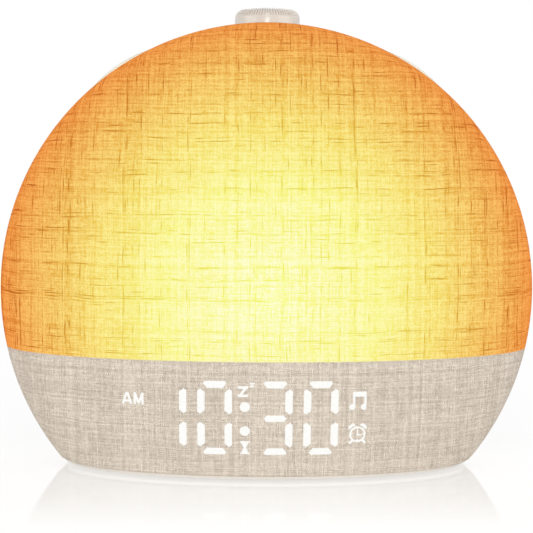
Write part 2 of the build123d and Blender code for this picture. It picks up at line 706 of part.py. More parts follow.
def casing_supports():
    """Posts and bosses that stand inside the rear casing, as plain rods."""
    rods = [level_rod(MAIN_BOSS_RADIUS, x, z, MAIN_Y, WALL_Y) for x, z in main_boss_places()]
    rods += [level_rod(POST_RADIUS, x, z, SPEAKER_Y, WALL_Y) for x, z in speaker_screw_places()]
    rods += base_bosses(BASE_BOSS_RADIUS, SPIGOT_Z, SPIGOT_Z + BASE_BOSS_HEIGHT)[2:]
    top = AXIS_Z + RIM_INNER
    rods += [upright_rod(POST_RADIUS, x, KNOB_Y, ENCODER_BOARD_Z, ENCODER_Z) for x in encoder_post_xs()]
    wall = rear_half(CASING_WALL / 2)
    posts = [upright_rod(POST_RADIUS, x, BUTTON_Y, SWITCH_BOARD_Z, top) & wall for x in switch_post_xs()]
    return rods + round_rim(posts)


def casing_pilots():
    """Screw holes of the rods inside the rear casing."""
    pilots = [level_rod(BOARD_SHANK_RADIUS, x, z, MAIN_Y, WALL_Y) for x, z in main_boss_places()]
    depth = SPEAKER_Y + BOARD_SHANK_LENGTH - SPEAKER_FLANGE
    pilots += [level_rod(BOARD_SHANK_RADIUS, x, z, SPEAKER_Y, depth) for x, z in speaker_screw_places()]
    pilots += base_bosses(SHORT_SHANK_RADIUS, FABRIC_Z, SPIGOT_Z + BASE_BOSS_HEIGHT - PILOT_SPARE)[2:]
    top = ENCODER_BOARD_Z + BOARD_SHANK_LENGTH
    pilots += [upright_rod(BOARD_SHANK_RADIUS, x, KNOB_Y, ENCODER_BOARD_Z, top) for x in encoder_post_xs()]
    top = SWITCH_BOARD_Z + BOARD_SHANK_LENGTH
    posts = [upright_rod(BOARD_SHANK_RADIUS, x, BUTTON_Y, SWITCH_BOARD_Z, top) for x in switch_post_xs()]
    return pilots + round_rim(posts)


def jack_cradle():
    """Open-topped cradle behind the back wall that takes the push of a plug on the inlet socket."""
    side = JACK_WIDTH + 2 * GLUE_GAP
    low = JACK_RISE - JACK_HEIGHT / 2 - GLUE_GAP
    bottom = low - CRADLE_WALL
    height = JACK_RISE + CRADLE_TOP - bottom
    depth = BACK_Y - CRADLE_Y
    width = side + 2 * CRADLE_WALL
    block = brick(width, depth, height, JACK_OFFSET, CRADLE_Y + depth / 2, bottom + height / 2)
    room = brick(side, depth, height, JACK_OFFSET, CRADLE_FRONT + depth / 2, low + height / 2)
    return block - room


def rear_casing():
    """Casing behind the seam with every seat, slot, tube, boss and opening."""
    drum = rear_half(0)
    casing = casing_shell()
    for angle in TUBE_ANGLES:
        x, z = polar(TUBE_CIRCLE, angle)
        casing += level_rod(TUBE_RADIUS, x, z, TUBE_Y, BACK_Y) & drum
        casing -= level_rod(TUBE_BORE, x, z, TUBE_Y + TUBE_SEAT, BACK_Y + OVERRUN)
        casing -= level_rod(SHORT_SHANK_RADIUS + SHANK_GAP, x, z, TUBE_Y - OVERRUN, BACK_Y)
    casing += upright_rod(SEAT_RADIUS + SEAT_RIM, 0, KNOB_Y, ENCODER_Z, AXIS_Z + RIM_RADIUS) & drum
    casing += casing_supports()
    casing += jack_cradle() & drum
    casing -= upright_rod(SEAT_RADIUS, 0, KNOB_Y, SEAT_Z, SEAT_Z + SPAN)
    casing -= upright_rod(BUSHING_RADIUS + GLUE_GAP, 0, KNOB_Y, ENCODER_Z - OVERRUN, SEAT_Z + OVERRUN)
    casing -= casing_pilots()
    casing -= round_rim([rim_slot(SLIDE_GAP, SWITCH_TOP, AXIS_Z + BODY_RADIUS + OVERRUN)])
    casing -= grille_slots()
    recess = SlotOverall(RECESS_LENGTH, RECESS_HEIGHT)
    casing -= level_plate(recess, SET_OFFSET, SET_RISE, RECESS_Y, BACK_Y + OVERRUN)
    hole = SET_RADIUS + SLIDE_GAP
    casing -= [level_rod(hole, x, SET_RISE, WALL_Y - OVERRUN, BACK_Y + OVERRUN) for x in set_button_xs()]
    nose = JACK_NOSE_RADIUS + GLUE_GAP
    return casing - level_rod(nose, JACK_OFFSET, JACK_RISE, WALL_Y - OVERRUN, BACK_Y + OVERRUN)


def body_outline(inset, z_from, z_to):
    """Slice of the whole body's outline between two levels."""
    whole = front_half(inset) + rear_half(inset)
    return whole & above(z_from) & below(z_to)


def base_plate():
    """Plate that closes the underside, with its spigot, pad recess and screw seats."""
    plate = body_outline(BASE_INSET, PAD_PROUD, FABRIC_Z)
    plate += body_outline(FLOOR_RING + GLUE_GAP, PAD_PROUD, SPIGOT_Z)
    plate += base_bosses(BASE_LUG_RADIUS, PAD_PROUD, SPIGOT_Z)
    plate -= extrude(Pos(0, 0, PAD_PROUD) * pad_outline(GLUE_GAP), PAD_RECESS)
    plate -= base_bosses(SHORT_SHANK_RADIUS + SHANK_GAP, PAD_PROUD - OVERRUN, SPIGOT_Z + OVERRUN)
    head = SHORT_HEAD_RADIUS + SHANK_GAP
    return plate - base_bosses(head, PAD_PROUD - OVERRUN, PAD_PROUD + SHORT_HEAD_HEIGHT)


def pad_outline(grow):
    """Oval of the foot pad."""
    return Pos(0, PAD_SHIFT) * Ellipse(PAD_LENGTH / 2 + grow, PAD_WIDTH / 2 + grow)


def foot_pad():
    """Rubber pad that the clock stands on."""
    pad = extrude(pad_outline(0), PAD_PROUD + PAD_RECESS)
    return pad - base_bosses(SHORT_HEAD_RADIUS + PAD_GAP, -OVERRUN, PAD_PROUD + PAD_RECESS + OVERRUN)


def knob_block(inset):
    """Solid knob form with a rounded edge and a crowned top, drawn in by an inset."""
    radius = KNOB_DIAMETER / 2 - inset
    top = KNOB_TOP - KNOB_Z - inset / 2
    edge = top - KNOB_CROWN
    side = Polyline((0, top), (0, 0), (radius, 0), (radius, edge - KNOB_ROUND))
    bend = RadiusArc((radius, edge - KNOB_ROUND), (radius - KNOB_ROUND, edge), -KNOB_ROUND)
    reach = radius - KNOB_ROUND
    sphere = (reach ** 2 + KNOB_CROWN ** 2) / (2 * KNOB_CROWN)
    section = make_face(side + bend + RadiusArc((reach, edge), (0, top), -sphere))
    return revolve(Pos(0, KNOB_Y, KNOB_Z) * Rot(90, 0, 0) * section, Axis((0, KNOB_Y, 0), (0, 0, 1)))


def knob_grooves():
    """Wedges round the knob's upper edge."""
    reach = KNOB_DIAMETER / 2 + TOOTH_DEPTH
    start = TOOTH_START_SHARE * reach
    wide = TOOTH_SHARE * math.pi * reach / KNOB_TEETH
    wedge = make_face(Polyline((start, 0), (reach, wide), (reach, -wide), close=True))
    ring = [Rot(0, 0, 360 * index / KNOB_TEETH) * wedge for index in range(KNOB_TEETH)]
    return [extrude(Pos(0, KNOB_Y, KNOB_TOP - TOOTH_BAND) * groove, TOOTH_BAND + OVERRUN) for groove in ring]


def shaft_section(grow):
    """Round shaft outline with its flat, about its axis."""
    side = 2 * SHAFT_RADIUS
    cut = Pos(SHAFT_FLAT + grow + side / 2, 0) * Rectangle(side, 2 * side)
    return Circle(SHAFT_RADIUS + grow) - cut


def shaft_prism(grow, z_from, z_to):
    """Shaft outline carried up between two levels."""
    return extrude(Pos(0, KNOB_Y, z_from) * shaft_section(grow), z_to - z_from)


def hub_bottom():
    """Lower end of the knob's hub, clear of the bushing when the knob is pressed."""
    return SEAT_Z + BUSHING_PROUD + KNOB_LIFT


def shaft_top():
    """Upper end of the shaft inside the knob."""
    return KNOB_TOP - KNOB_CROWN - KNOB_WALL


def knob():
    """Turning knob with a crowned top, a serrated edge and a hub on the shaft."""
    shell = knob_block(0) - knob_grooves() + knob_block(TOOTH_DEPTH)
    shell -= knob_block(KNOB_WALL) & below(shaft_top())
    shell += upright_rod(KNOB_HUB_RADIUS, 0, KNOB_Y, hub_bottom(), shaft_top())
    return shell - shaft_prism(RUN_GAP, hub_bottom(), shaft_top())


def rotor_z():
    """Underside of the encoder's rotor."""
    return ENCODER_BOARD_Z + ENCODER_FLOOR + SHAFT_CLEAR + ROTOR_GAP


def encoder_shaft():
    """Shaft that turns the rotor and slides through it when the knob is pressed."""
    return shaft_prism(0, ENCODER_BOARD_Z + ENCODER_FLOOR + SHAFT_CLEAR, shaft_top())


def encoder_rotor():
    """Disc that the shaft turns inside the encoder."""
    disc = upright_rod(ROTOR_RADIUS, 0, KNOB_Y, rotor_z(), rotor_z() + ROTOR_HEIGHT)
    return disc - shaft_prism(RUN_GAP, rotor_z(), rotor_z() + ROTOR_HEIGHT)


def encoder_housing():
    """Encoder body with its bushing through the casing."""
    middle = (ENCODER_BOARD_Z + ENCODER_Z) / 2
    body = brick(ENCODER_SIDE, ENCODER_SIDE, ENCODER_HEIGHT, 0, KNOB_Y, middle)
    body += upright_rod(BUSHING_RADIUS, 0, KNOB_Y, middle, SEAT_Z + BUSHING_PROUD)
    floor = ENCODER_BOARD_Z + ENCODER_FLOOR
    body -= upright_rod(SHAFT_RADIUS + RUN_GAP, 0, KNOB_Y, floor, SEAT_Z + BUSHING_PROUD)
    room = ROTOR_RADIUS + ROTOR_GAP
    return body - upright_rod(room, 0, KNOB_Y, rotor_z() - ROTOR_GAP, rotor_z() + ROTOR_HEIGHT + ROTOR_GAP)


def encoder_nut():
    """Hexagon nut that clamps the bushing to the seat."""
    ring = extrude(Pos(0, KNOB_Y, SEAT_Z) * RegularPolygon(NUT_RADIUS, 6), NUT_HEIGHT)
    return ring - upright_rod(BUSHING_RADIUS, 0, KNOB_Y, SEAT_Z, SEAT_Z + NUT_HEIGHT)


def lying_board(length, width, y, top, holes):
    """Level circuit board under its posts, with its screw holes."""
    sheet = extrude(Pos(0, y, top - BOARD_THICKNESS) * Rectangle(length, width), BOARD_THICKNESS)
    shank = BOARD_SHANK_RADIUS + SHANK_GAP
    return sheet - [upright_rod(shank, x, y, top - BOARD_THICKNESS, top) for x in holes]


def encoder_board():
    """Board under the encoder."""
    return lying_board(ENCODER_BOARD_LENGTH, ENCODER_BOARD_WIDTH, KNOB_Y, ENCODER_BOARD_Z, encoder_post_xs())


def switch_boards():
    """Boards under the rim buttons."""
    sheet = lying_board(SWITCH_BOARD_LENGTH, SWITCH_BOARD_WIDTH, BUTTON_Y, SWITCH_BOARD_Z, switch_post_xs())
    return round_rim([sheet])


def rim_switches():
    """Switch housings under the rim buttons."""
    body = brick(SWITCH_SIDE, SWITCH_SIDE, SWITCH_HEIGHT, 0, BUTTON_Y, SWITCH_TOP - SWITCH_HEIGHT / 2)
    socket = upright_rod(PLUNGER_RADIUS + SLIDE_GAP, 0, BUTTON_Y, SWITCH_TOP - 2 * PLUNGER_SOCKET, SWITCH_TOP)
    return round_rim([body - socket])


def plunger_at_top():
    """Switch plunger at the top of the rim."""
    return upright_rod(PLUNGER_RADIUS, 0, BUTTON_Y, SWITCH_TOP - PLUNGER_SOCKET, SWITCH_TOP + PLUNGER_REACH)


def button_at_top():
    """Rim button at the top of the rim: crowned cap, lip inside the wall and stem."""
    crest = AXIS_Z + RIM_RADIUS + BUTTON_PROUD
    inner = AXIS_Z + RIM_INNER
    cap = rim_slot(0, inner - BUTTON_LIP_WALL - BUTTON_LIP, crest + OVERRUN)
    cap = cap & level_rod(BUTTON_CROWN, 0, crest - BUTTON_CROWN, SEAM_Y, BACK_Y)
    cap = fillet(cap.faces().sort_by(Axis.Z)[-1].edges(), BUTTON_EDGE)
    lip = rim_slot(BUTTON_LIP, inner - SWITCH_DROP / 2, inner)
    draft = RIM_DRAFT * (BUTTON_SETBACK + BUTTON_WIDTH) / REAR_DEPTH
    under = RIM_INNER - SLIDE_GAP - draft
    lip = lip & level_rod(under, 0, AXIS_Z, SEAM_Y, BACK_Y)
    lip -= level_rod(under - BUTTON_LIP_WALL, 0, AXIS_Z, SEAM_Y, BACK_Y)
    stem = upright_rod(BUTTON_STEM_RADIUS, 0, BUTTON_Y, SWITCH_TOP + PLUNGER_REACH, inner - BUTTON_LIP_WALL)
    return cap + lip + stem


def set_button(x):
    """Round set button on the back: cap with a softened edge, lip inside the wall and stem."""
    face = RECESS_Y + SET_PROUD
    cap = level_rod(SET_RADIUS, x, SET_RISE, WALL_Y - SLIDE_GAP, face)
    cap = fillet(cap.faces().sort_by(Axis.Y)[-1].edges(), SET_EDGE)
    lip = level_rod(SET_RADIUS + SET_LIP, x, SET_RISE, WALL_Y - SLIDE_GAP - SET_LIP_WALL, WALL_Y - SLIDE_GAP)
    tip = MAIN_Y + SWITCH_HEIGHT + PLUNGER_REACH
    return cap + lip + level_rod(BUTTON_STEM_RADIUS, x, SET_RISE, tip, WALL_Y - SLIDE_GAP - SET_LIP_WALL / 2)


def set_plunger(x):
    """Plunger of the switch behind a set button."""
    top = MAIN_Y + SWITCH_HEIGHT
    return level_rod(PLUNGER_RADIUS, x, SET_RISE, top - PLUNGER_SOCKET, top + PLUNGER_REACH)


def set_switches():
    """Switch housings behind the set buttons."""
    top = MAIN_Y + SWITCH_HEIGHT
    housings = []
    for x in set_button_xs():
        body = brick(SWITCH_SIDE, SWITCH_HEIGHT, SWITCH_SIDE, x, top - SWITCH_HEIGHT / 2, SET_RISE)
        room = level_rod(PLUNGER_RADIUS + SLIDE_GAP, x, SET_RISE, top - 2 * PLUNGER_SOCKET, top)
        housings.append(body - room)
    return housings


def main_board():
    """Main board on the back wall's bosses."""
    return board(MAIN_WIDTH, MAIN_HEIGHT, MAIN_BOSS_EDGE, 0, MAIN_RISE, MAIN_FRONT, main_boss_places())


def power_jack():
    """Inlet socket in its cradle, its nose in the back wall and its tail on the main board."""
    nose = BACK_Y - JACK_NOSE_SHY
    start = CRADLE_FRONT + GLUE_GAP
    depth = WALL_Y - GLUE_GAP - start
    body = brick(JACK_WIDTH, depth, JACK_HEIGHT, JACK_OFFSET, start + depth / 2, JACK_RISE)
    body += level_rod(JACK_NOSE_RADIUS, JACK_OFFSET, JACK_RISE, start + depth / 2, nose)
    tail = JACK_HEIGHT / 2 - CRADLE_TOP - TAIL_GAP
    reach = start + depth / 2 - MAIN_Y
    tail_z = JACK_RISE + JACK_HEIGHT / 2 - tail / 2
    body += brick(TAIL_WIDTH, reach, tail, JACK_OFFSET, MAIN_Y + reach / 2, tail_z)
    return body - level_rod(JACK_BORE_RADIUS, JACK_OFFSET, JACK_RISE, nose - JACK_BORE_DEPTH, nose + OVERRUN)


def jack_pin():
    """Contact pin in the inlet socket."""
    nose = BACK_Y - JACK_NOSE_SHY
    return level_rod(PIN_RADIUS, JACK_OFFSET, JACK_RISE, nose - JACK_BORE_DEPTH, nose - PIN_SHY)


def chips():
    """Processor, amplifier and display driver in like packages."""
    y = MAIN_FRONT - CHIP_HEIGHT / 2
    low = MAIN_RISE - CHIP_DROP
    driver_y = DISPLAY_Y + BOARD_THICKNESS + CHIP_HEIGHT / 2
    xs = (CHIP_START, CHIP_START + CHIP_PITCH)
    pieces = [brick(CHIP_SIDE, CHIP_HEIGHT, CHIP_SIDE, x, y, low) for x in xs]
    pieces.append(brick(CHIP_SIDE, CHIP_HEIGHT, CHIP_SIDE, DISPLAY_OFFSET + DIGIT_PITCH, driver_y, DISPLAY_Z))
    return pieces


def capacitors():
    """Three round capacitors beside the inlet."""
    z = MAIN_RISE - CAPACITOR_DROP
    xs = [JACK_OFFSET + share * CAPACITOR_PITCH for share in CAPACITOR_SHARES]
    return [level_rod(CAPACITOR_RADIUS, x, z, MAIN_FRONT - CAPACITOR_HEIGHT, MAIN_FRONT) for x in xs]


def inductor():
    """Power coil over the capacitors."""
    y = MAIN_FRONT - INDUCTOR_HEIGHT / 2
    return brick(INDUCTOR_SIDE, INDUCTOR_HEIGHT, INDUCTOR_SIDE, JACK_OFFSET, y, MAIN_RISE + INDUCTOR_SIDE)


def cell_x():
    """Place of the button cell along the main board."""
    return HOLDER_EDGE + HOLDER_WALL + CELL_RADIUS - MAIN_WIDTH / 2


def cell_holder():
    """Cup that holds the button cell on the main board."""
    front = MAIN_FRONT - HOLDER_FLOOR - CELL_HEIGHT
    cup = level_rod(CELL_RADIUS + HOLDER_WALL, cell_x(), MAIN_RISE, front, MAIN_FRONT)
    return cup - level_rod(CELL_RADIUS + GLUE_GAP, cell_x(), MAIN_RISE, front, MAIN_FRONT - HOLDER_FLOOR)


def button_cell():
    """Button cell that keeps the time."""
    back = MAIN_FRONT - HOLDER_FLOOR
    return level_rod(CELL_RADIUS, cell_x(), MAIN_RISE, back - CELL_HEIGHT, back)


def main_plug_xs():
    """Places of the lead connectors along the top of the main board."""
    return [share * PLUG_PITCH for share in PLUG_SHARES]


def connectors():
    """Lead connectors on the boards, all of one size."""
    size = (PLUG_LENGTH, PLUG_HEIGHT, PLUG_HEIGHT)
    front = MAIN_FRONT - PLUG_HEIGHT / 2
    pieces = [brick(*size, x, front, PLUG_Z) for x in main_plug_xs()]
    pieces.append(brick(*size, RIBBON_X, front, RIBBON_Z))
    rear = DISPLAY_Y + BOARD_THICKNESS + PLUG_HEIGHT / 2
    pieces.append(brick(*size, RIBBON_X, rear, RIBBON_Z))
    lamp_rear = LAMP_Y + BOARD_THICKNESS + PLUG_HEIGHT / 2
    pieces.append(brick(*size, lamp_lead_x(), lamp_rear, lamp_plug_z()))
    low = ENCODER_BOARD_Z - BOARD_THICKNESS - PLUG_HEIGHT / 2
    pieces.append(brick(*size, encoder_lead_x(), KNOB_Y, low))
    return pieces


def lamp_lead_x():
    """Place of the lamp board's lead across the body."""
    return main_plug_xs()[1]


def encoder_lead_x():
    """Place of the encoder's lead across the body."""
    return main_plug_xs()[2]


def speaker_flange(thickness, y_to):
    """Square flange with its corner holes."""
    outline = RectangleRounded(SPEAKER_SIDE, SPEAKER_SIDE, SPEAKER_CORNER)
    plate = level_plate(outline, 0, SPEAKER_Z, y_to - thickness, y_to)
    shank = BOARD_SHANK_RADIUS + SHANK_GAP
    return plate - [level_rod(shank, x, z, y_to - thickness, y_to) for x, z in speaker_screw_places()]


def speaker_basket():
    """Square flange with a tapered basket behind its mouth and windows in the taper."""
    rear = SPEAKER_Y - SPEAKER_FLANGE
    back = rear - BASKET_DEPTH
    seat = MAGNET_RADIUS + BASKET_WALL
    mouth = SPEAKER_MOUTH + BASKET_WALL
    cup = turned([(0, rear), (mouth, rear), (seat, back), (0, back)], SPEAKER_AXIS)
    basket = speaker_flange(SPEAKER_FLANGE, SPEAKER_Y) + cup
    floor = back + BASKET_WALL
    room = [(0, SPEAKER_Y), (SPEAKER_MOUTH, SPEAKER_Y), (SPEAKER_MOUTH, rear)]
    basket -= turned(room + [(MAGNET_RADIUS, floor), (0, floor)], SPEAKER_AXIS)
    basket -= level_rod(COIL_RADIUS + COIL_WALL + COIL_GAP, 0, SPEAKER_Z, back - OVERRUN, rear)
    middle = back + BASKET_DEPTH / 2
    for turn in BASKET_WINDOW_ANGLES:
        size = (BASKET_WINDOW_REACH, BASKET_DEPTH / 2, BASKET_WINDOW_WIDTH)
        window = brick(*size, SPEAKER_MOUTH, middle, SPEAKER_Z)
        basket -= window.rotate(SPEAKER_AXIS, turn)
    return basket


def speaker_magnet():
    """Magnet cup with its pole and the ring gap for the voice coil."""
    top = SPEAKER_Y - SPEAKER_FLANGE - BASKET_DEPTH
    magnet = level_rod(MAGNET_RADIUS, 0, SPEAKER_Z, top - MAGNET_HEIGHT, top)
    gap = level_rod(COIL_RADIUS + COIL_WALL + COIL_GAP, 0, SPEAKER_Z, top - COIL_LENGTH, top)
    return magnet - (gap - level_rod(POLE_RADIUS, 0, SPEAKER_Z, top - COIL_LENGTH, top))


def cone_back():
    """Depth of the cone's narrow end."""
    return SPEAKER_Y - CONE_DEPTH


def speaker_cone():
    """Paper cone with its dust cap."""
    front = SPEAKER_Y
    neck = COIL_RADIUS
    outer = [(neck, cone_back()), (CONE_RADIUS, front)]
    outer += [(CONE_RADIUS, front + CONE_WALL), (neck, cone_back() + CONE_WALL)]
    cone = turned(outer, SPEAKER_AXIS)
    rise = neck / 2
    cap = turned([(0, cone_back()), (neck, cone_back()), (neck, cone_back() + CONE_WALL),
                  (rise, cone_back() + CAP_RISE), (0, cone_back() + CAP_RISE)], SPEAKER_AXIS)
    return cone + cap


def voice_coil():
    """Tube behind the cone that stands in the magnet's gap."""
    outer = COIL_RADIUS + COIL_WALL
    low = SPEAKER_Y - SPEAKER_FLANGE - BASKET_DEPTH - COIL_LENGTH / 2
    wound = level_rod(outer, 0, SPEAKER_Z, low, cone_back())
    return wound - level_rod(COIL_RADIUS, 0, SPEAKER_Z, low, cone_back())


def speaker_surround():
    """Soft half roll between the cone's edge and the flange."""
    inner = CONE_RADIUS + SURROUND_GAP
    outer = SPEAKER_MOUTH + SURROUND_LAND
    middle = (inner + SPEAKER_MOUTH) / 2
    land = Pos((inner + outer) / 2, SPEAKER_Y + SURROUND_WALL / 2) * Rectangle(outer - inner, SURROUND_WALL)
    roll = Pos(middle, SPEAKER_Y) * Circle(SURROUND_ROLL + SURROUND_WALL)
    roll &= Pos(middle, SPEAKER_Y + SPAN / 2) * Rectangle(SPAN, SPAN)
    section = land + roll - Pos(middle, SPEAKER_Y) * Circle(SURROUND_ROLL)
    return revolve(Pos(0, 0, SPEAKER_Z) * section, SPEAKER_AXIS)


def speaker_gasket():
    """Foam ring between the flange and the back wall."""
    outer = SPEAKER_MOUTH + GASKET_WIDTH
    front = SPEAKER_Y + SURROUND_WALL
    ring = level_rod(outer, 0, SPEAKER_Z, front, WALL_Y)
    return ring - level_rod(SPEAKER_MOUTH, 0, SPEAKER_Z, front, WALL_Y)


def short_screws():
    """Screws of the base plate and of the inner frame."""
    piece = screw(SHORT_HEAD_RADIUS, SHORT_HEAD_HEIGHT, SHORT_SHANK_RADIUS, SHORT_SHANK_LENGTH)
    seat = PAD_PROUD + SHORT_HEAD_HEIGHT
    pieces = [Pos(x, y, seat) * Rot(180, 0, 0) * piece for x, y in base_boss_places()]
    places = [polar(FRONT_BOSS_CIRCLE, angle) for angle in FRONT_BOSS_ANGLES]
    return pieces + [Pos(x, FRAME_Y, z) * Rot(-90, 0, 0) * piece for x, z in places]


def casing_screws():
    """Long-reach screws at the bottom of the casing's tubes."""
    piece = screw(SHORT_HEAD_RADIUS, SHORT_HEAD_HEIGHT, SHORT_SHANK_RADIUS, CASING_SHANK_LENGTH)
    places = [polar(TUBE_CIRCLE, angle) for angle in TUBE_ANGLES]
    return [Pos(x, TUBE_Y + TUBE_SEAT, z) * Rot(-90, 0, 0) * piece for x, z in places]


def board_screws():
    """Small screws of the boards and the speaker."""
    piece = screw(BOARD_HEAD_RADIUS, BOARD_HEAD_HEIGHT, BOARD_SHANK_RADIUS, BOARD_SHANK_LENGTH)
    rear_turn = Rot(90, 0, 0) * piece
    pieces = [Pos(x, LAMP_Y, z) * rear_turn for x, z in lamp_screw_places()]
    pieces += [Pos(x, MAIN_FRONT, z) * rear_turn for x, z in main_boss_places()]
    pieces += [Pos(x, SPEAKER_Y - SPEAKER_FLANGE, z) * rear_turn for x, z in speaker_screw_places()]
    rear = DISPLAY_Y + BOARD_THICKNESS
    pieces += [Pos(x, rear, z) * Rot(-90, 0, 0) * piece for x, z in display_post_places()]
    low = ENCODER_BOARD_Z - BOARD_THICKNESS
    pieces += [Pos(x, KNOB_Y, low) * Rot(180, 0, 0) * piece for x in encoder_post_xs()]
    low = SWITCH_BOARD_Z - BOARD_THICKNESS
    return pieces + round_rim([Pos(x, BUTTON_Y, low) * Rot(180, 0, 0) * piece for x in switch_post_xs()])


def display_ribbon():
    """Flat cable from the display board to the main board, with a loop of slack."""
    start = DISPLAY_Y + BOARD_THICKNESS + PLUG_HEIGHT
    run = MAIN_FRONT - PLUG_HEIGHT - start
    pairs = zip(RIBBON_RUN_SHARES, RIBBON_SAG_SHARES)
    points = [(RIBBON_X, start + along * run, RIBBON_Z - RIBBON_SAG * sag) for along, sag in pairs]
    path = FilletPolyline(*points, radius=LEAD_BEND)
    start = Plane(origin=points[0], x_dir=(1, 0, 0), z_dir=(0, 1, 0))
    section = start * Rectangle(RIBBON_WIDTH, RIBBON_THICKNESS)
    return sweep(section, path)


def dropped_lead(x, y_from, z_from, y_to, z_to):
    """Lead that hangs down, steps across and hangs down again."""
    step = z_to + LEAD_DROP
    points = [(x, y_from, z_from), (x, y_from, step + LEAD_DROP), (x, y_to, step), (x, y_to, z_to)]
    path = FilletPolyline(*points, radius=LEAD_BEND)
    return sweep(Plane(origin=points[0], z_dir=(0, 0, -1)) * Circle(LEAD_RADIUS), path)


def main_plug_y():
    """Depth of the middle of the main board's connectors."""
    return MAIN_FRONT - PLUG_HEIGHT / 2


def lamp_lead():
    """Lead from the lamp board to the main board."""
    y = LAMP_Y + BOARD_THICKNESS + PLUG_HEIGHT / 2
    z = lamp_plug_z() - PLUG_HEIGHT / 2
    return dropped_lead(lamp_lead_x(), y, z, main_plug_y(), PLUG_Z + PLUG_HEIGHT / 2)


def encoder_lead():
    """Lead from the encoder board to the main board."""
    low = ENCODER_BOARD_Z - BOARD_THICKNESS - PLUG_HEIGHT
    return dropped_lead(encoder_lead_x(), KNOB_Y, low, main_plug_y(), PLUG_Z + PLUG_HEIGHT / 2)


def speaker_lead():
    """Lead from the speaker's lower edge to the main board."""
    y = SPEAKER_Y - SPEAKER_FLANGE - LEAD_RADIUS
    low = SPEAKER_Z - SPEAKER_SIDE / 2 + LEAD_DROP
    return dropped_lead(main_plug_xs()[0], y, low, main_plug_y(), PLUG_Z + PLUG_HEIGHT / 2)


def switch_leads():
    """Leads from the rim buttons' boards to the encoder board."""
    turn = math.radians(BUTTON_ANGLE)
    rise = SWITCH_BOARD_Z - BOARD_THICKNESS / 2 - AXIS_Z
    half = SWITCH_BOARD_LENGTH / 2 + SWITCH_LEAD_GAP
    start_x = rise * math.sin(turn) - half * math.cos(turn)
    start_z = AXIS_Z + rise * math.cos(turn) + half * math.sin(turn)
    end_x = ENCODER_BOARD_LENGTH / 2 + SWITCH_LEAD_GAP
    end_z = ENCODER_BOARD_Z - BOARD_THICKNESS / 2
    middle = ((start_x + end_x) / 2, BUTTON_Y, (start_z + end_z) / 2 - SWITCH_LEAD_SAG)
    arc = ThreePointArc((start_x, BUTTON_Y, start_z), middle, (end_x, BUTTON_Y, end_z))
    lead = sweep(Plane(origin=arc @ 0, z_dir=arc % 0) * Circle(LEAD_RADIUS), arc)
    return [lead, mirror(lead, Plane.YZ)]


def write_node(name, shape):
    """One file per node; a list becomes a group of separate solids."""
    solids = []
    for piece in shape if isinstance(shape, list) else [shape]:
        solids += piece.solids()
    export_step(Compound(solids) if len(solids) > 1 else solids[0], f"parts/{name}.step")


NODES = {
    "fabric_cover": fabric_cover, "light_diffuser": light_diffuser, "front_fascia": front_fascia,
    "inner_frame": inner_frame, "reflector": reflector, "lamp_board": lamp_board, "lamps": lamps,
    "display_board": display_board, "display_lamps": display_lamps, "display_light_box": display_light_box,
    "display_light_pipes": display_light_pipes, "rear_casing": rear_casing, "base_plate": base_plate,
    "foot_pad": foot_pad, "knob": knob, "encoder_shaft": encoder_shaft, "encoder_rotor": encoder_rotor,
    "encoder_housing": encoder_housing, "encoder_nut": encoder_nut, "encoder_board": encoder_board,
    "switch_boards": switch_boards, "rim_switches": rim_switches, "set_switches": set_switches,
    "main_board": main_board, "power_jack": power_jack, "jack_pin": jack_pin, "chips": chips,
    "capacitors": capacitors, "inductor": inductor, "cell_holder": cell_holder, "button_cell": button_cell,
    "connectors": connectors, "speaker_basket": speaker_basket, "speaker_magnet": speaker_magnet,
    "speaker_cone": speaker_cone, "voice_coil": voice_coil, "speaker_surround": speaker_surround,
    "speaker_gasket": speaker_gasket, "short_screws": short_screws, "casing_screws": casing_screws,
    "board_screws": board_screws, "display_ribbon": display_ribbon, "lamp_lead": lamp_lead,
    "encoder_lead": encoder_lead, "speaker_lead": speaker_lead, "switch_leads": switch_leads,
}

for node_name, make_node in NODES.items():
    write_node(node_name, make_node())

for side_name, side in (("left", -1), ("right", 1)):
    write_node(f"{side_name}_button", button_at_top().rotate(BODY_AXIS, side * BUTTON_ANGLE))
    write_node(f"{side_name}_plunger", plunger_at_top().rotate(BODY_AXIS, side * BUTTON_ANGLE))

for set_name, set_x in zip(SET_NAMES, set_button_xs()):
    write_node(f"set_button_{set_name}", set_button(set_x))
    write_node(f"set_plunger_{set_name}", set_plunger(set_x))
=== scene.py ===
import math

import bmesh
import bpy
from mathutils import Matrix, Vector

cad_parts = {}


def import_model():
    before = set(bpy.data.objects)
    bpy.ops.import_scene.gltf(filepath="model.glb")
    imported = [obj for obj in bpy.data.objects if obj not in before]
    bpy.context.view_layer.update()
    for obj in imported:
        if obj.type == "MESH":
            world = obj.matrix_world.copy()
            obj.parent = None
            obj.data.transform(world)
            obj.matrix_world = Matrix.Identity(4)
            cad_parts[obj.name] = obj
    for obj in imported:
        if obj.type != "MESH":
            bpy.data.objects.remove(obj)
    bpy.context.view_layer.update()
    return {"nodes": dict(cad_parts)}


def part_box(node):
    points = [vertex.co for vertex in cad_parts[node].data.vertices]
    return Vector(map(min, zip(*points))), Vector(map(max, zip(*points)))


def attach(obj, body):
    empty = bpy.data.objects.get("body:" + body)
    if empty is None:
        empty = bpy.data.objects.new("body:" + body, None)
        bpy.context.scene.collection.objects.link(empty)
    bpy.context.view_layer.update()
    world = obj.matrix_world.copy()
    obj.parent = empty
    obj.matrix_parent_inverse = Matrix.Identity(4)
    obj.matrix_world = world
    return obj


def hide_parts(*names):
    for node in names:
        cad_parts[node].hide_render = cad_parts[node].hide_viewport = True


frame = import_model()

MM = 0.001

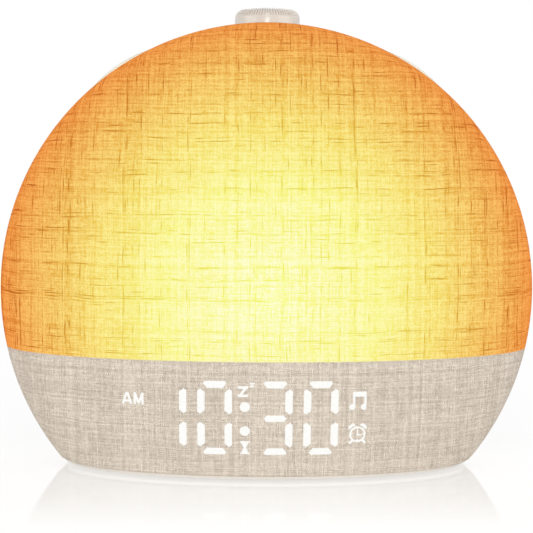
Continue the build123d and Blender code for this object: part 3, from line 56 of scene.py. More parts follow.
# The cover's form, read from its solid
COVER_LOW, COVER_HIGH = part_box("fabric_cover")
RADIUS = COVER_HIGH.x
SEAM_Y = COVER_HIGH.y
DEPTH = SEAM_Y - COVER_LOW.y
AXIS_Z = COVER_HIGH.z - RADIUS
EDGE_Z = COVER_LOW.z
PARTING_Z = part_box("light_diffuser")[0].z
CENTRE = Vector((0, SEAM_Y, AXIS_Z))

# Cloth
CLOTH = 0.8 * MM
HEM = 7.0 * MM
EDGE_ROUND = 1.3 * MM
EDGE_MARGIN = 0.045  # turn before the lower edge from which the rows lie closer
RINGS = 50
EDGE_RINGS = 20
SEAM_STEPS = 180
HEM_STEPS = 110

# Weave
THREAD_PITCH = 0.37 * MM
THREAD_RUN = 7 * MM  # length over which a thread's thickness changes
THREAD_TWIST = 2.2 * MM  # length over which its shade changes
THREAD_WANDER = 2.0 * MM
THREAD_STRETCH = 2.0  # most that the weave opens where the dome falls away
THREAD_APART = 7.3  # step in the noise from one thread to the next
WANDER_SCALE = 42
UPRIGHT_SEED = 3.1
LEVEL_SEED = 57.7
TWIST_SEED = 20
EVEN_SHARE, RUN_SHARE = 0.35, 0.65
THICK_SHARE, TWIST_SHARE = 0.6, 0.4
THICKNESS_SPAN = (0.88, 1.37)
SLUB_SPAN = (0.675, 0.78)
TOP_SPAN = (-0.2, 0.2)
SHADE_SPAN = (0.33, 0.81)
CROSSING_GLOW = 0.25
CROSSING_SHADE = 0.14
TOP_HEIGHT = 0.3
WEAVE_RELIEF = 0.3
WEAVE_HEIGHT = 0.2 * MM
CLOTH_SPECULAR = 0.02
CLOTH_ROUGHNESS = (0.95, 0.85)
LINEN_DARK, LINEN_PALE = (175, 160, 145), (250, 239, 224)

# Light through the cloth
GLOW_RISE = 0.02 * RADIUS
GLOW_STRENGTH = 0.8
GLOW_PAINT = (0.2, 0.2, 0.2, 1)  # share of a lit colour that room light also shows
PARTING_BLUR = 0.15 * MM

# Lit marks on the cloth
MARK_LIFT = 0.1 * MM
MARK_SINK = 0.15 * MM
MARK_FACE = 1.2 * MM  # longest edge that is left uncut
MARK_CUTS = 3
DISC_STEPS = 24

# Display, in millimetres across from the middle and up from the body axis
DIGITS = ((-33.05, "bc"), (-17.7, "abcdef"), (2.6, "abcdg"), (18.0, "abcdef"))
DIGIT_Z = -39.5
COLON_X = -7.6
COLON_LEVELS = (-35.5, -43.9)
COLON_RADIUS = 1.7

# Segments, in millimetres from the middle of a digit
TOP_Z = 12.9
TOP_TIP_Z = 12.2
TOP_LOW_Z = 10.55
TOP_TIP = 3.95
TOP_OUTER = 3.3
TOP_INNER = 2.65
COLUMN_OUT = 5.85
COLUMN_IN = 3.35
COLUMN_TIP = 4.95
COLUMN_TOP = 10.2
COLUMN_LOW = 1.45
COLUMN_OUT_SLOPE = 0.65
COLUMN_IN_SLOPE = 1.2
LEVEL_HALF = 1.05
LEVEL_TIP = 3.8
LEVEL_SHOULDER = 2.95

# Camera of the photograph
IMAGE_SIDE = 533
FOCAL = 2134
CAMERA_AZIMUTH = math.radians(-0.53)
CAMERA_ELEVATION = math.radians(4.4)
CAMERA_ROLL = math.radians(0.266)
CAMERA_DISTANCE = 0.765
CENTRE_PIXEL = (266.54, 289.15)
SENSOR = 36.0
CLIP_START = 0.01

# Surfaces
NOISE_MIDDLE = 0.5
NOISE_SPAN = (0.3, 0.7)
PATCH_SCALE = 90
PATCH_DETAIL = 3
ROUGH_SWING = 0.06
LINES_ALONG, LINES_ACROSS = 300, 4000
TRACK_SCALE = 520.0
FINE_HEIGHT = 0.05 * MM
GRAIN_HEIGHT = 0.1 * MM
PORE_HEIGHT = 0.2 * MM

# Table and room
WHITE = (1, 1, 1, 1)
BLACK = (0, 0, 0, 1)
ROOM_LIGHT = 0.42
TABLE_HALF = 4.0
TABLE_PAINT = (0.4, 0.4, 0.4, 1)
TABLE_LIFT = 0.705
TABLE_BOUNCE = 0.4
TABLE_NEAR, TABLE_FAR = 0.22, 0.6  # distances between which the table turns plain white
TABLE_SHINE = 0.33
SHINE_ROUGHNESS = 0.06
SHINE_START = -40 * MM
SHINE_END = -118 * MM

# Lamps: name, place, width, height, power
LAMPS = (
    ("key", (-1.5, -0.8, 0.5), 1.4, 0.9, 7.3),
    ("fill", (1.5, -0.8, 0.5), 1.4, 0.9, 6.9),
    ("rear", (0.5, 1.3, 1.3), 2.2, 1.6, 6),
    ("strip", (0.0, -0.9, 0.6), 0.12, 1.34, 2.2),
    ("gleam", (0.0, -1.0, 0.2), 0.28, 0.3, 1.4),
)


def linear(red, green, blue):
    """Colour written as 0 to 255 screen values, as the shaders take it."""
    values = []
    for level in (red, green, blue):
        share = level / 255
        values.append(share / 12.92 if share <= 0.04045 else ((share + 0.055) / 1.055) ** 2.4)
    return (*values, 1)


def scaled(colour, share):
    """Colour made lighter or darker."""
    return tuple(min(1, level * share) for level in colour[:3]) + (1,)


def put(tree, node, values):
    """Gives a shader node its input values or links."""
    for key, value in values.items():
        if isinstance(value, bpy.types.NodeSocket):
            tree.links.new(value, node.inputs[key])
        else:
            node.inputs[key].default_value = value


def add(tree, kind, values=None, **settings):
    """New shader node with its settings and its input values or links."""
    node = tree.nodes.new(kind)
    for key, value in settings.items():
        setattr(node, key, value)
    put(tree, node, values or {})
    return node


def maths(tree, operation, *values):
    """Result of one operation on one or two values."""
    return add(tree, "ShaderNodeMath", dict(enumerate(values)), operation=operation).outputs[0]


def plus(tree, value, extra, share):
    """Value with a share of another added to it."""
    return maths(tree, "ADD", value, maths(tree, "MULTIPLY", extra, share))


def mixed(tree, share, first, second, way="MIX"):
    """Two colours mixed by a share."""
    values = {0: share, 6: first, 7: second}
    return add(tree, "ShaderNodeMix", values, data_type="RGBA", blend_type=way).outputs[2]


def spread(tree, value, low, high, to_low, to_high):
    """Value carried from one range to another and held inside it."""
    values = {0: value, 1: low, 2: high, 3: to_low, 4: to_high}
    return add(tree, "ShaderNodeMapRange", values).outputs[0]


def ramp(tree, share, stops):
    """Colour along a row of stops."""
    node = add(tree, "ShaderNodeValToRGB", {0: share})
    row = node.color_ramp.elements
    while len(row) < len(stops):
        row.new(0.5)
    for element, (place, _) in zip(row, stops):
        element.position = place
    for element, (_, colour) in zip(row, stops):
        element.color = linear(*colour)
    return node.outputs[0]


def noise(tree, vector, scale, detail=2.0):
    """Soft noise about 0.5."""
    values = {"Vector": vector, "Scale": scale, "Detail": detail}
    return add(tree, "ShaderNodeTexNoise", values).outputs[0]


def stretched(tree, vector, along, across):
    """Coordinates scaled differently along and across."""
    return add(tree, "ShaderNodeMapping", {0: vector, 3: (along, across, 1)}).outputs[0]


def blank(name):
    """New material with its tree, shader and object coordinates."""
    material = bpy.data.materials.new(name)
    material.use_nodes = True
    tree = material.node_tree
    coords = add(tree, "ShaderNodeTexCoord").outputs["Object"]
    return material, tree, tree.nodes["Principled BSDF"], coords


def finish_surface(tree, shader, height, strength, distance):
    """Fine relief on a surface."""
    values = {"Height": height, "Strength": strength, "Distance": distance}
    put(tree, shader, {"Normal": add(tree, "ShaderNodeBump", values).outputs[0]})


def moulded(name, colour, roughness, shade=0.04, grain=2600, relief=0.08):
    """Moulded plastic, rubber or ferrite with faint patches and a fine grain."""
    material, tree, shader, coords = blank(name)
    patches = spread(tree, noise(tree, coords, PATCH_SCALE, PATCH_DETAIL), *NOISE_SPAN, 0, 1)
    fine = noise(tree, coords, grain)
    base = mixed(tree, patches, scaled(colour, 1 - shade), scaled(colour, 1 + shade))
    rough = spread(tree, fine, *NOISE_SPAN, roughness - ROUGH_SWING, roughness + ROUGH_SWING)
    put(tree, shader, {"Base Color": base, "Roughness": rough})
    finish_surface(tree, shader, fine, relief, GRAIN_HEIGHT)
    return material


def brushed(name, colour, roughness):
    """Plated metal with drawn lines."""
    material, tree, shader, coords = blank(name)
    dull, bright, smoother, rougher, relief = 0.82, 1.1, 0.08, 0.1, 0.1
    lines = noise(tree, stretched(tree, coords, LINES_ALONG, LINES_ACROSS), 1, PATCH_DETAIL)
    base = mixed(tree, lines, scaled(colour, dull), scaled(colour, bright))
    rough = spread(tree, lines, *NOISE_SPAN, roughness - smoother, roughness + rougher)
    put(tree, shader, {"Base Color": base, "Roughness": rough, "Metallic": 1.0})
    finish_surface(tree, shader, lines, relief, FINE_HEIGHT)
    return material


def banded(name, colour, groove, pitch, axis):
    """Wound wire as bands along an axis."""
    material, tree, shader, coords = blank(name)
    wave, unevenness, rough_groove, rough_wire, metal, relief = 0.05, 0.4, 0.5, 0.28, 0.8, 0.5
    values = {"Vector": coords, "Scale": wave / pitch, "Distortion": unevenness}
    bands = add(tree, "ShaderNodeTexWave", values, bands_direction=axis).outputs["Fac"]
    rough = spread(tree, bands, 0, 1, rough_groove, rough_wire)
    base = mixed(tree, bands, groove, colour)
    put(tree, shader, {"Base Color": base, "Roughness": rough, "Metallic": metal})
    finish_surface(tree, shader, bands, relief, GRAIN_HEIGHT)
    return material


def board_mask():
    """Green solder mask over faintly raised tracks."""
    material, tree, shader, coords = blank("solder_mask")
    gap_from, gap_to, patch, rough_track, rough_mask, relief = 0.25, 0.32, 160, 0.28, 0.4, 0.15
    values = {"Vector": coords, "Scale": TRACK_SCALE}
    cells = add(tree, "ShaderNodeTexVoronoi", values, distance="CHEBYCHEV").outputs["Distance"]
    tracks = spread(tree, cells, gap_from, gap_to, 0, 1)
    plain = mixed(tree, noise(tree, coords, patch), linear(12, 74, 44), linear(20, 96, 58))
    base = mixed(tree, tracks, linear(30, 112, 70), plain)
    rough = spread(tree, tracks, 0, 1, rough_track, rough_mask)
    put(tree, shader, {"Base Color": base, "Roughness": rough})
    finish_surface(tree, shader, tracks, relief, FINE_HEIGHT)
    return material


def fibrous(name, colour, roughness, grain, relief):
    """Pressed paper or foam with a clear fibre or pore."""
    material, tree, shader, coords = blank(name)
    dull, bright, smoother, patch, patch_detail = 0.75, 1.25, 0.12, grain / 6, 4
    values = {"Vector": coords, "Scale": grain}
    pores = add(tree, "ShaderNodeTexVoronoi", values).outputs["Distance"]
    patches = noise(tree, coords, patch, patch_detail)
    base = mixed(tree, patches, scaled(colour, dull), scaled(colour, bright))
    rough = spread(tree, pores, 0, 1, roughness, roughness - smoother)
    put(tree, shader, {"Base Color": base, "Roughness": rough})
    finish_surface(tree, shader, pores, relief, PORE_HEIGHT)
    return material


def clear_plastic():
    """Clear pipe that carries light, faintly frosted."""
    material, tree, shader, coords = blank("frosted_clear")
    frost_scale, rough_low, rough_high, clear, bending = 1500, 0.12, 0.3, 0.8, 1.49
    frost = noise(tree, coords, frost_scale)
    base = mixed(tree, frost, linear(226, 232, 236), linear(244, 247, 250))
    rough = spread(tree, frost, *NOISE_SPAN, rough_low, rough_high)
    put(tree, shader, {
        "Base Color": base, "Roughness": rough, "Transmission Weight": clear, "IOR": bending})
    return material


def along_threads(tree, number, along, run, seed):
    """Noise that differs from thread to thread and changes over a run along each of them."""
    apart = maths(tree, "MULTIPLY", number, THREAD_APART)
    place = {0: apart, 1: maths(tree, "MULTIPLY", along, 1 / run), 2: seed}
    return noise(tree, add(tree, "ShaderNodeCombineXYZ", place).outputs[0], 1, 1)


def thread_shades(tree, number, along, seed):
    """Shade of each numbered thread of one direction and its thick places, both about 0.5."""
    values = {"W": maths(tree, "ADD", number, seed)}
    even = add(tree, "ShaderNodeTexWhiteNoise", values, noise_dimensions="1D").outputs["Value"]
    slow = along_threads(tree, number, along, THREAD_RUN, seed)
    short = along_threads(tree, number, along, THREAD_TWIST, seed + TWIST_SEED)
    thick = plus(tree, maths(tree, "MULTIPLY", even, EVEN_SHARE), slow, RUN_SHARE)
    return plus(tree, maths(tree, "MULTIPLY", thick, THICK_SHARE), short, TWIST_SHARE), thick


def threads(tree, weave):
    """Shades of the upright and level threads, thick places, crossings and which lies on top."""
    wander = maths(tree, "SUBTRACT", noise(tree, weave, WANDER_SCALE), NOISE_MIDDLE)
    wander = maths(tree, "MULTIPLY", wander, THREAD_WANDER)
    weave = add(tree, "ShaderNodeVectorMath", {0: weave, 1: wander}, operation="ADD").outputs[0]
    split = add(tree, "ShaderNodeSeparateXYZ", {0: weave}).outputs
    column = maths(tree, "FLOOR", maths(tree, "MULTIPLY", split[0], 1 / THREAD_PITCH))
    row = maths(tree, "FLOOR", maths(tree, "MULTIPLY", split[1], 1 / THREAD_PITCH))
    upright, upright_thick = thread_shades(tree, column, split[1], UPRIGHT_SEED)
    level, level_thick = thread_shades(tree, row, split[0], LEVEL_SEED)
    over = maths(tree, "SINE", maths(tree, "MULTIPLY", split[0], math.pi / THREAD_PITCH))
    under = maths(tree, "SINE", maths(tree, "MULTIPLY", split[1], math.pi / THREAD_PITCH))
    thick = maths(tree, "MAXIMUM", upright_thick, level_thick)
    cell = add(tree, "ShaderNodeCombineXYZ", {0: column, 1: row}).outputs[0]
    crossings = add(tree, "ShaderNodeTexWhiteNoise", {"Vector": cell}, noise_dimensions="2D")
    order = maths(tree, "MULTIPLY", over, under)
    return upright, level, thick, crossings.outputs["Value"], order


def glow_reach(tree, place):
    """Distance from the middle of the glow, one at the cover's rim."""
    across = maths(tree, "MULTIPLY", place[0], 1 / RADIUS)
    rise = maths(tree, "SUBTRACT", place[2], AXIS_Z + GLOW_RISE)
    up = maths(tree, "MULTIPLY", rise, 1 / RADIUS)
    wide, tall = maths(tree, "MULTIPLY", across, across), maths(tree, "MULTIPLY", up, up)
    return maths(tree, "SQRT", maths(tree, "ADD", wide, tall))


def lit_cloth(tree, reach, thickness, slubs):
    """Painted glow colour of the lit cloth, from thin through thick cloth to dark slubs."""
    # Along the reach the painted glow falls from yellow in the middle to orange at the rim. The
    # darker last stops paint shade along the cloth's edge.
    thin = ramp(tree, reach, [
        (0.0, (255, 255, 224)), (0.4, (255, 252, 182)), (0.6, (255, 242, 150)),
        (0.8, (255, 214, 119)), (0.97, (255, 173, 87)), (1.0, (244, 153, 71))])
    thick = ramp(tree, reach, [
        (0.0, (249, 251, 143)), (0.4, (246, 241, 114)), (0.6, (241, 211, 89)),
        (0.8, (231, 166, 67)), (0.97, (223, 124, 45)), (1.0, (209, 108, 36))])
    dark = ramp(tree, reach, [
        (0.0, (244, 247, 113)), (0.4, (232, 219, 88)), (0.6, (221, 180, 66)),
        (0.8, (205, 133, 45)), (0.97, (188, 88, 24)), (1.0, (174, 74, 18))])
    return mixed(tree, slubs, mixed(tree, thickness, thin, thick), dark)


def painted(tree, light):
    """Base colour under a light colour of its own."""
    return mixed(tree, 1.0, light, GLOW_PAINT, "MULTIPLY")


def linen():
    """Linen, lit from behind above the parting line and plain below it."""
    material, tree, shader, coords = blank("linen_weave")
    weave = add(tree, "ShaderNodeUVMap", uv_map="weave").outputs[0]
    upright, level, thick_places, crossings, order = threads(tree, weave)
    both = maths(tree, "ADD", upright, level)
    thickness = spread(tree, plus(tree, both, crossings, CROSSING_GLOW), *THICKNESS_SPAN, 0, 1)
    slubs = spread(tree, thick_places, *SLUB_SPAN, 0, 1)
    place = add(tree, "ShaderNodeSeparateXYZ", {0: coords}).outputs
    lit = lit_cloth(tree, glow_reach(tree, place), thickness, slubs)
    over = spread(tree, order, *TOP_SPAN, 0, 1)
    top = add(tree, "ShaderNodeMix", {0: over, 2: upright, 3: level}).outputs[0]
    shade = spread(tree, plus(tree, top, crossings, CROSSING_SHADE), *SHADE_SPAN, 0, 1)
    plain = mixed(tree, shade, linear(*LINEN_DARK), linear(*LINEN_PALE))
    above = spread(tree, place[2], PARTING_Z - PARTING_BLUR, PARTING_Z + PARTING_BLUR, 0, 1)
    put(tree, shader, {
        "Base Color": mixed(tree, above, plain, painted(tree, lit)),
        "Emission Color": mixed(tree, above, BLACK, lit),
        "Emission Strength": GLOW_STRENGTH,
        "Roughness": spread(tree, thickness, 0, 1, *CLOTH_ROUGHNESS),
        "Specular IOR Level": CLOTH_SPECULAR})
    finish_surface(tree, shader, plus(tree, top, order, TOP_HEIGHT), WEAVE_RELIEF, WEAVE_HEIGHT)
    return material


def glow():
    """White light of the display as it comes through the cloth."""
    material, tree, shader, coords = blank("display_light")
    cloth_scale, dim_from, dim_to, rough_dim, rough_bright = 1400, 0.35, 0.65, 0.9, 0.75
    cloth = noise(tree, coords, cloth_scale)
    share = spread(tree, cloth, dim_from, dim_to, 0, 1)
    light = mixed(tree, share, linear(247, 246, 242), linear(254, 254, 251))
    put(tree, shader, {
        "Base Color": painted(tree, light),
        "Emission Color": light,
        "Emission Strength": GLOW_STRENGTH,
        "Roughness": spread(tree, cloth, *NOISE_SPAN, rough_dim, rough_bright)})
    return material


def dress(name, mesh, material):
    """Puts a mesh into the scene as a piece of the clock body."""
    piece = bpy.data.objects.new(name, mesh)
    bpy.context.scene.collection.objects.link(piece)
    mesh.materials.append(material)
    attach(piece, "clock_body")
    return piece


def smooth(mesh):
    """Smooth shading on every face."""
    for face in mesh.polygons:
        face.use_smooth = True


def cover_point(turn, angle):
    """Point of the cloth's outside: turn from the front pole to the seam, angle round the axis."""
    ahead, out = math.cos(turn), math.sin(turn)
    across, up = out * math.cos(angle), out * math.sin(angle)
    reach = 1 / math.sqrt((across ** 2 + up ** 2) / RADIUS ** 2 + (ahead / DEPTH) ** 2)
    if up < 0:
        floor_reach = (AXIS_Z - EDGE_Z) / -up
        overlap = max(EDGE_ROUND - abs(reach - floor_reach), 0)
        reach = min(reach, floor_reach) - overlap ** 2 / (4 * EDGE_ROUND)
    return Vector((reach * across, SEAM_Y - reach * ahead, AXIS_Z + reach * up))


def cover_turns(angle):
    """Turns along one row of the cloth: over the dome, then to the seam or round to the hem."""
    drop = AXIS_Z - EDGE_Z
    lean = (math.sin(angle) / drop) ** 2 - 1 / RADIUS ** 2
    edge, end = math.pi / 2, math.pi / 2
    if math.sin(angle) < 0 and lean > 0:
        slope = DEPTH * math.sqrt(lean)
        edge = math.atan2(1, slope)
        half_long = math.sqrt(RADIUS ** 2 - drop ** 2)
        half_deep = DEPTH * half_long / RADIUS
        x = drop * math.cos(angle) / abs(math.sin(angle))
        y = drop * slope / abs(math.sin(angle))
        inward = y / half_deep ** 2 / math.hypot(x / half_long ** 2, y / half_deep ** 2)
        hem = HEM * abs(math.sin(angle)) / drop / max(inward, MM)
        end = math.atan2(1, max(0, slope - hem))
    leave = edge - EDGE_MARGIN
    rest = end - leave
    turns = [leave * index / RINGS for index in range(1, RINGS + 1)]
    return turns + [leave + rest * index / EDGE_RINGS for index in range(1, EDGE_RINGS + 1)]


def cover_angles():
    """Angles round the axis, closer under the clock, with the two lower corners among them."""
    corner = math.asin((AXIS_Z - EDGE_Z) / RADIUS)
    over = math.pi + 2 * corner
    under = 2 * math.pi - over
    angles = [over * index / SEAM_STEPS - corner for index in range(SEAM_STEPS)]
    return angles + [over - corner + under * index / HEM_STEPS for index in range(HEM_STEPS)]


def cover_rows(mesh, pole, flat):
    """Rows of the cloth's outside and their lengths; each point's weave place goes into flat."""
    rows, runs = [], []
    for angle in cover_angles():
        run, reach, last, row = 0.0, 0.0, pole.co, []
        for turn in cover_turns(angle):
            point = cover_point(turn, angle)
            step = (point - last).length
            ahead = math.hypot(point.x, point.z - AXIS_Z) - math.hypot(last.x, last.z - AXIS_Z)
            run += step
            reach += max(ahead, step / THREAD_STRETCH)
            last = point
            vertex = mesh.verts.new(point)
            flat[vertex] = Vector((reach * math.cos(angle), reach * math.sin(angle)))
            row.append(vertex)
        rows.append(row)
        runs.append(run)
    return rows, runs


def cover_skin(mesh, pole, pairs):
    """Faces of the cloth's outside between each row and the next."""
    skin = []
    for row, following in pairs:
        skin.append(mesh.faces.new((pole, row[0], following[0])))
        for index in range(len(row) - 1):
            near, far = row[index:index + 2], following[index:index + 2]
            skin.append(mesh.faces.new((*near, *reversed(far))))
    mesh.normal_update()
    return skin


def cover():
    """Stretched linen cover as one closed cloth with its hem turned under."""
    mesh = bmesh.new()
    layer = mesh.loops.layers.uv.new("weave")
    pole = mesh.verts.new(cover_point(0, 0))
    flat = {pole: Vector((0, 0))}
    rows, runs = cover_rows(mesh, pole, flat)
    pairs = list(zip(rows, rows[1:] + rows[:1]))
    skin = cover_skin(mesh, pole, pairs)
    outward = 1 if pole.normal.y < 0 else -1
    inner = {}
    for vertex in list(flat):
        inner[vertex] = mesh.verts.new(vertex.co - vertex.normal * outward * CLOTH)
        flat[inner[vertex]] = flat[vertex]
    for face in skin:
        mesh.faces.new([inner[vertex] for vertex in reversed(face.verts[:])])
    for row, following in pairs:
        mesh.faces.new((row[-1], inner[row[-1]], inner[following[-1]], following[-1]))
    for face in mesh.faces:
        for loop in face.loops:
            loop[layer].uv = flat[loop.vert]
    bmesh.ops.recalc_face_normals(mesh, faces=mesh.faces[:])
    data = bpy.data.meshes.new("linen_cover")
    mesh.to_mesh(data)
    mesh.free()
    smooth(data)
    piece = dress("linen_cover", data, linen())
    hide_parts("fabric_cover")


def disc(x, z, radius):
    """Outline of a round mark."""
    turns = [2 * math.pi * index / DISC_STEPS for index in range(DISC_STEPS)]
    return [(x + radius * math.cos(turn), z + radius * math.sin(turn)) for turn in turns]


def ring(x, z, outer, inner):
    """Ring as a row of four-sided marks."""
    out, within = disc(x, z, outer), disc(x, z, inner)
    following = list(range(1, DISC_STEPS)) + [0]
    return [[out[i], out[j], within[j], within[i]] for i, j in enumerate(following)]


def bar(x_from, z_from, x_to, z_to, width):
    """Straight stroke between two points."""
    along = Vector((x_to - x_from, z_to - z_from)).normalized()
    side = Vector((-along.y, along.x)) * width / 2
    start, end = Vector((x_from, z_from)), Vector((x_to, z_to))
    return [tuple(start + side), tuple(end + side), tuple(end - side), tuple(start - side)]


def segments(x, names):
    """Outlines of the named segments of a digit, about its middle."""
    level = [(-LEVEL_TIP, 0), (-LEVEL_SHOULDER, LEVEL_HALF), (LEVEL_SHOULDER, LEVEL_HALF),
             (LEVEL_TIP, 0), (LEVEL_SHOULDER, -LEVEL_HALF), (-LEVEL_SHOULDER, -LEVEL_HALF)]
    top = [(-TOP_TIP, TOP_TIP_Z), (-TOP_OUTER, TOP_Z), (TOP_OUTER, TOP_Z),
           (TOP_TIP, TOP_TIP_Z), (TOP_INNER, TOP_LOW_Z), (-TOP_INNER, TOP_LOW_Z)]
    column = [(COLUMN_TIP, COLUMN_TOP), (COLUMN_OUT, COLUMN_TOP - COLUMN_OUT_SLOPE),
              (COLUMN_OUT, COLUMN_LOW + COLUMN_OUT_SLOPE), (COLUMN_TIP, COLUMN_LOW),
              (COLUMN_IN, COLUMN_LOW + COLUMN_IN_SLOPE), (COLUMN_IN, COLUMN_TOP - COLUMN_IN_SLOPE)]
    shapes = {
        "a": top, "d": [(px, -pz) for px, pz in top], "g": level, "b": column,
        "c": [(px, -pz) for px, pz in column], "f": [(-px, pz) for px, pz in column],
        "e": [(-px, -pz) for px, pz in column]}
    return [[(x + px, DIGIT_Z + pz) for px, pz in shapes[name]] for name in names]


def zed(x_low, x_high, z_low, z_high, width):
    """Letter of the snooze sign from three strokes."""
    top, low = z_high - width / 2, z_low + width / 2
    lean = 0.7
    inset = width * lean
    return [bar(x_low, top, x_high, top, width), bar(x_low, low, x_high, low, width),
            bar(x_high - inset, top, x_low + inset, low, width)]


def snooze_marks():
    """Large and small letter of the snooze sign."""
    large = zed(-9.9, -6.5, -32.0, -28.3, 0.85)
    small = zed(-5.95, -4.4, -28.6, -27.1, 0.4)
    return large + small


def am_marks():
    """Letters A and M from strokes."""
    low, high, width = -35.5, -31.4, 0.72
    half = width / 2
    left, right = -49.2, -45.6
    middle, tip = (left + right) / 2, 0.1
    cross, cross_width = low + 1.1, width * 0.85
    marks = [bar(left + half, low, middle - tip, high, width),
             bar(right - half, low, middle + tip, high, width),
             bar(left + width, cross, right - width, cross, cross_width)]
    left, right = -45.1, -41.75
    middle, dip, shoulder = (left + right) / 2, low + 0.3, high - 0.1
    sides = (left + half, right - half)
    marks += [bar(side, low, side, high, width) for side in sides]
    return marks + [bar(side, shoulder, middle, dip, width) for side in sides]


def timer_marks():
    """Hourglass from two bars and two funnels."""
    left, right, low, high = -9.15, -5.95, -52.2, -47.5
    middle, waist = (left + right) / 2, (low + high) / 2
    edge, neck, cap = 0.35, 0.42, 0.5
    top, bottom = high - cap, low + cap
    marks = [bar(left, z, right, z, cap) for z in (high - cap / 2, low + cap / 2)]
    marks.append([(left + edge, top), (right - edge, top),
                  (middle + neck, waist), (middle - neck, waist)])
    marks.append([(left + edge, bottom), (middle - neck, waist),
                  (middle + neck, waist), (right - edge, bottom)])
    return marks


def note_marks():
    """Two quavers under one beam."""
    low, high = -36.7, -30.4
    stems, heads = (29.1, 32.95), (28.5, 32.4)
    head_rise, head_radius = 0.95, 0.98
    stem_rise, stem_width, overhang, beam = 0.9, 0.75, 0.37, 1.75
    left, right = stems[0] - overhang, stems[1] + overhang
    marks = [disc(x, low + head_rise, head_radius) for x in heads]
    marks += [bar(x, low + stem_rise, x, high, stem_width) for x in stems]
    marks.append([(left, high), (right, high), (right, high - beam), (left, high - beam)])
    return marks


def alarm_marks():
    """Alarm sign: dial, hands, bells, feet and ticks."""
    x, z = 30.5, -45.4
    dial, dial_width = 2.8, 0.6
    bell_in, bell_out, bell_bevel = 3.2, 4.2, 0.3
    bell_turns = (13, 17, 25, 36, 47, 55, 59)
    hand_top, hand_low, hand_width = 1.5, 0.4, 0.5
    hand_left, hand_right, hand_drop = 0.25, 1.35, 0.2
    foot_in, foot_top, foot_out, foot_low, foot_width = 1.7, 2.1, 2.75, 3.3, 0.75
    tick_out, tick_in, tick_width = 2.4, 1.75, 0.45
    start, end = bell_in + bell_bevel, bell_out - bell_bevel
    reaches = (start, end, bell_out, bell_out, bell_out, end, start)

    def around(turn, reach):
        return x + reach * math.cos(turn), z + reach * math.sin(turn)

    marks = ring(x, z, dial, dial - dial_width)
    marks.append(bar(x, z + hand_top, x, z - hand_low, hand_width))
    marks.append(bar(x - hand_left, z - hand_drop, x + hand_right, z - hand_drop, hand_width))
    for side in (-1, 1):
        near, far = x + side * foot_in, x + side * foot_out
        marks.append(bar(near, z - foot_top, far, z - foot_low, foot_width))
        turns = [math.radians(90 + side * turn) for turn in bell_turns]
        outer = [around(turn, reach) for turn, reach in zip(turns, reaches)]
        inner = [around(turn, bell_in) for turn in turns[-2:0:-1]]
        marks.append(outer + inner)
    for turn in map(math.radians, (0, 90, 180, 270)):
        marks.append(bar(*around(turn, tick_out), *around(turn, tick_in), tick_width))
    return marks


def on_cover(x, z, lift):
    """Point on the cover in front of a place, raised from the cloth along its normal."""
    y = SEAM_Y - DEPTH * math.sqrt(1 - (x * x + z * z) / RADIUS ** 2)
    point = Vector((x, y, AXIS_Z + z))
    out = Vector((x / RADIUS ** 2, (y - SEAM_Y) / DEPTH ** 2, z / RADIUS ** 2)).normalized()
    return point + out * lift


def marks_piece(name, outlines, material):
    """Lit marks laid on the curve of the cloth as one thin closed piece."""
    mesh = bmesh.new()
    for outline in outlines:
        corners = [mesh.verts.new((px * MM, 0, pz * MM)) for px, pz in outline]
        mesh.faces.new(corners)
    bmesh.ops.triangulate(mesh, faces=mesh.faces[:])
    for _ in range(MARK_CUTS):
        long = [edge for edge in mesh.edges if edge.calc_length() > MARK_FACE]
        if long:
            bmesh.ops.subdivide_edges(mesh, edges=long, cuts=1)
            bmesh.ops.triangulate(mesh, faces=mesh.faces[:])
    back = mesh.verts[:]
    grown = bmesh.ops.extrude_face_region(mesh, geom=mesh.faces[:])
    front = [item for item in grown["geom"] if isinstance(item, bmesh.types.BMVert)]
    for vertices, lift in ((back, -MARK_SINK), (front, MARK_LIFT)):
        for vertex in vertices:
            vertex.co = on_cover(vertex.co.x, vertex.co.z, lift)
    bmesh.ops.recalc_face_normals(mesh, faces=mesh.faces[:])
    data = bpy.data.meshes.new(name)
    mesh.to_mesh(data)
    mesh.free()
    return dress(name, data, material)


def display():
    """Every lit mark of the display."""
    material = glow()
    digits = [outline for x, names in DIGITS for outline in segments(x, names)]
    digits += [disc(COLON_X, z, COLON_RADIUS) for z in COLON_LEVELS]
    marks_piece("lit_digits", digits, material)
    marks_piece("lit_am", am_marks(), material)
    marks_piece("lit_snooze", snooze_marks(), material)
    marks_piece("lit_timer", timer_marks(), material)
    marks_piece("lit_note", note_marks(), material)
    marks_piece("lit_alarm", alarm_marks(), material)


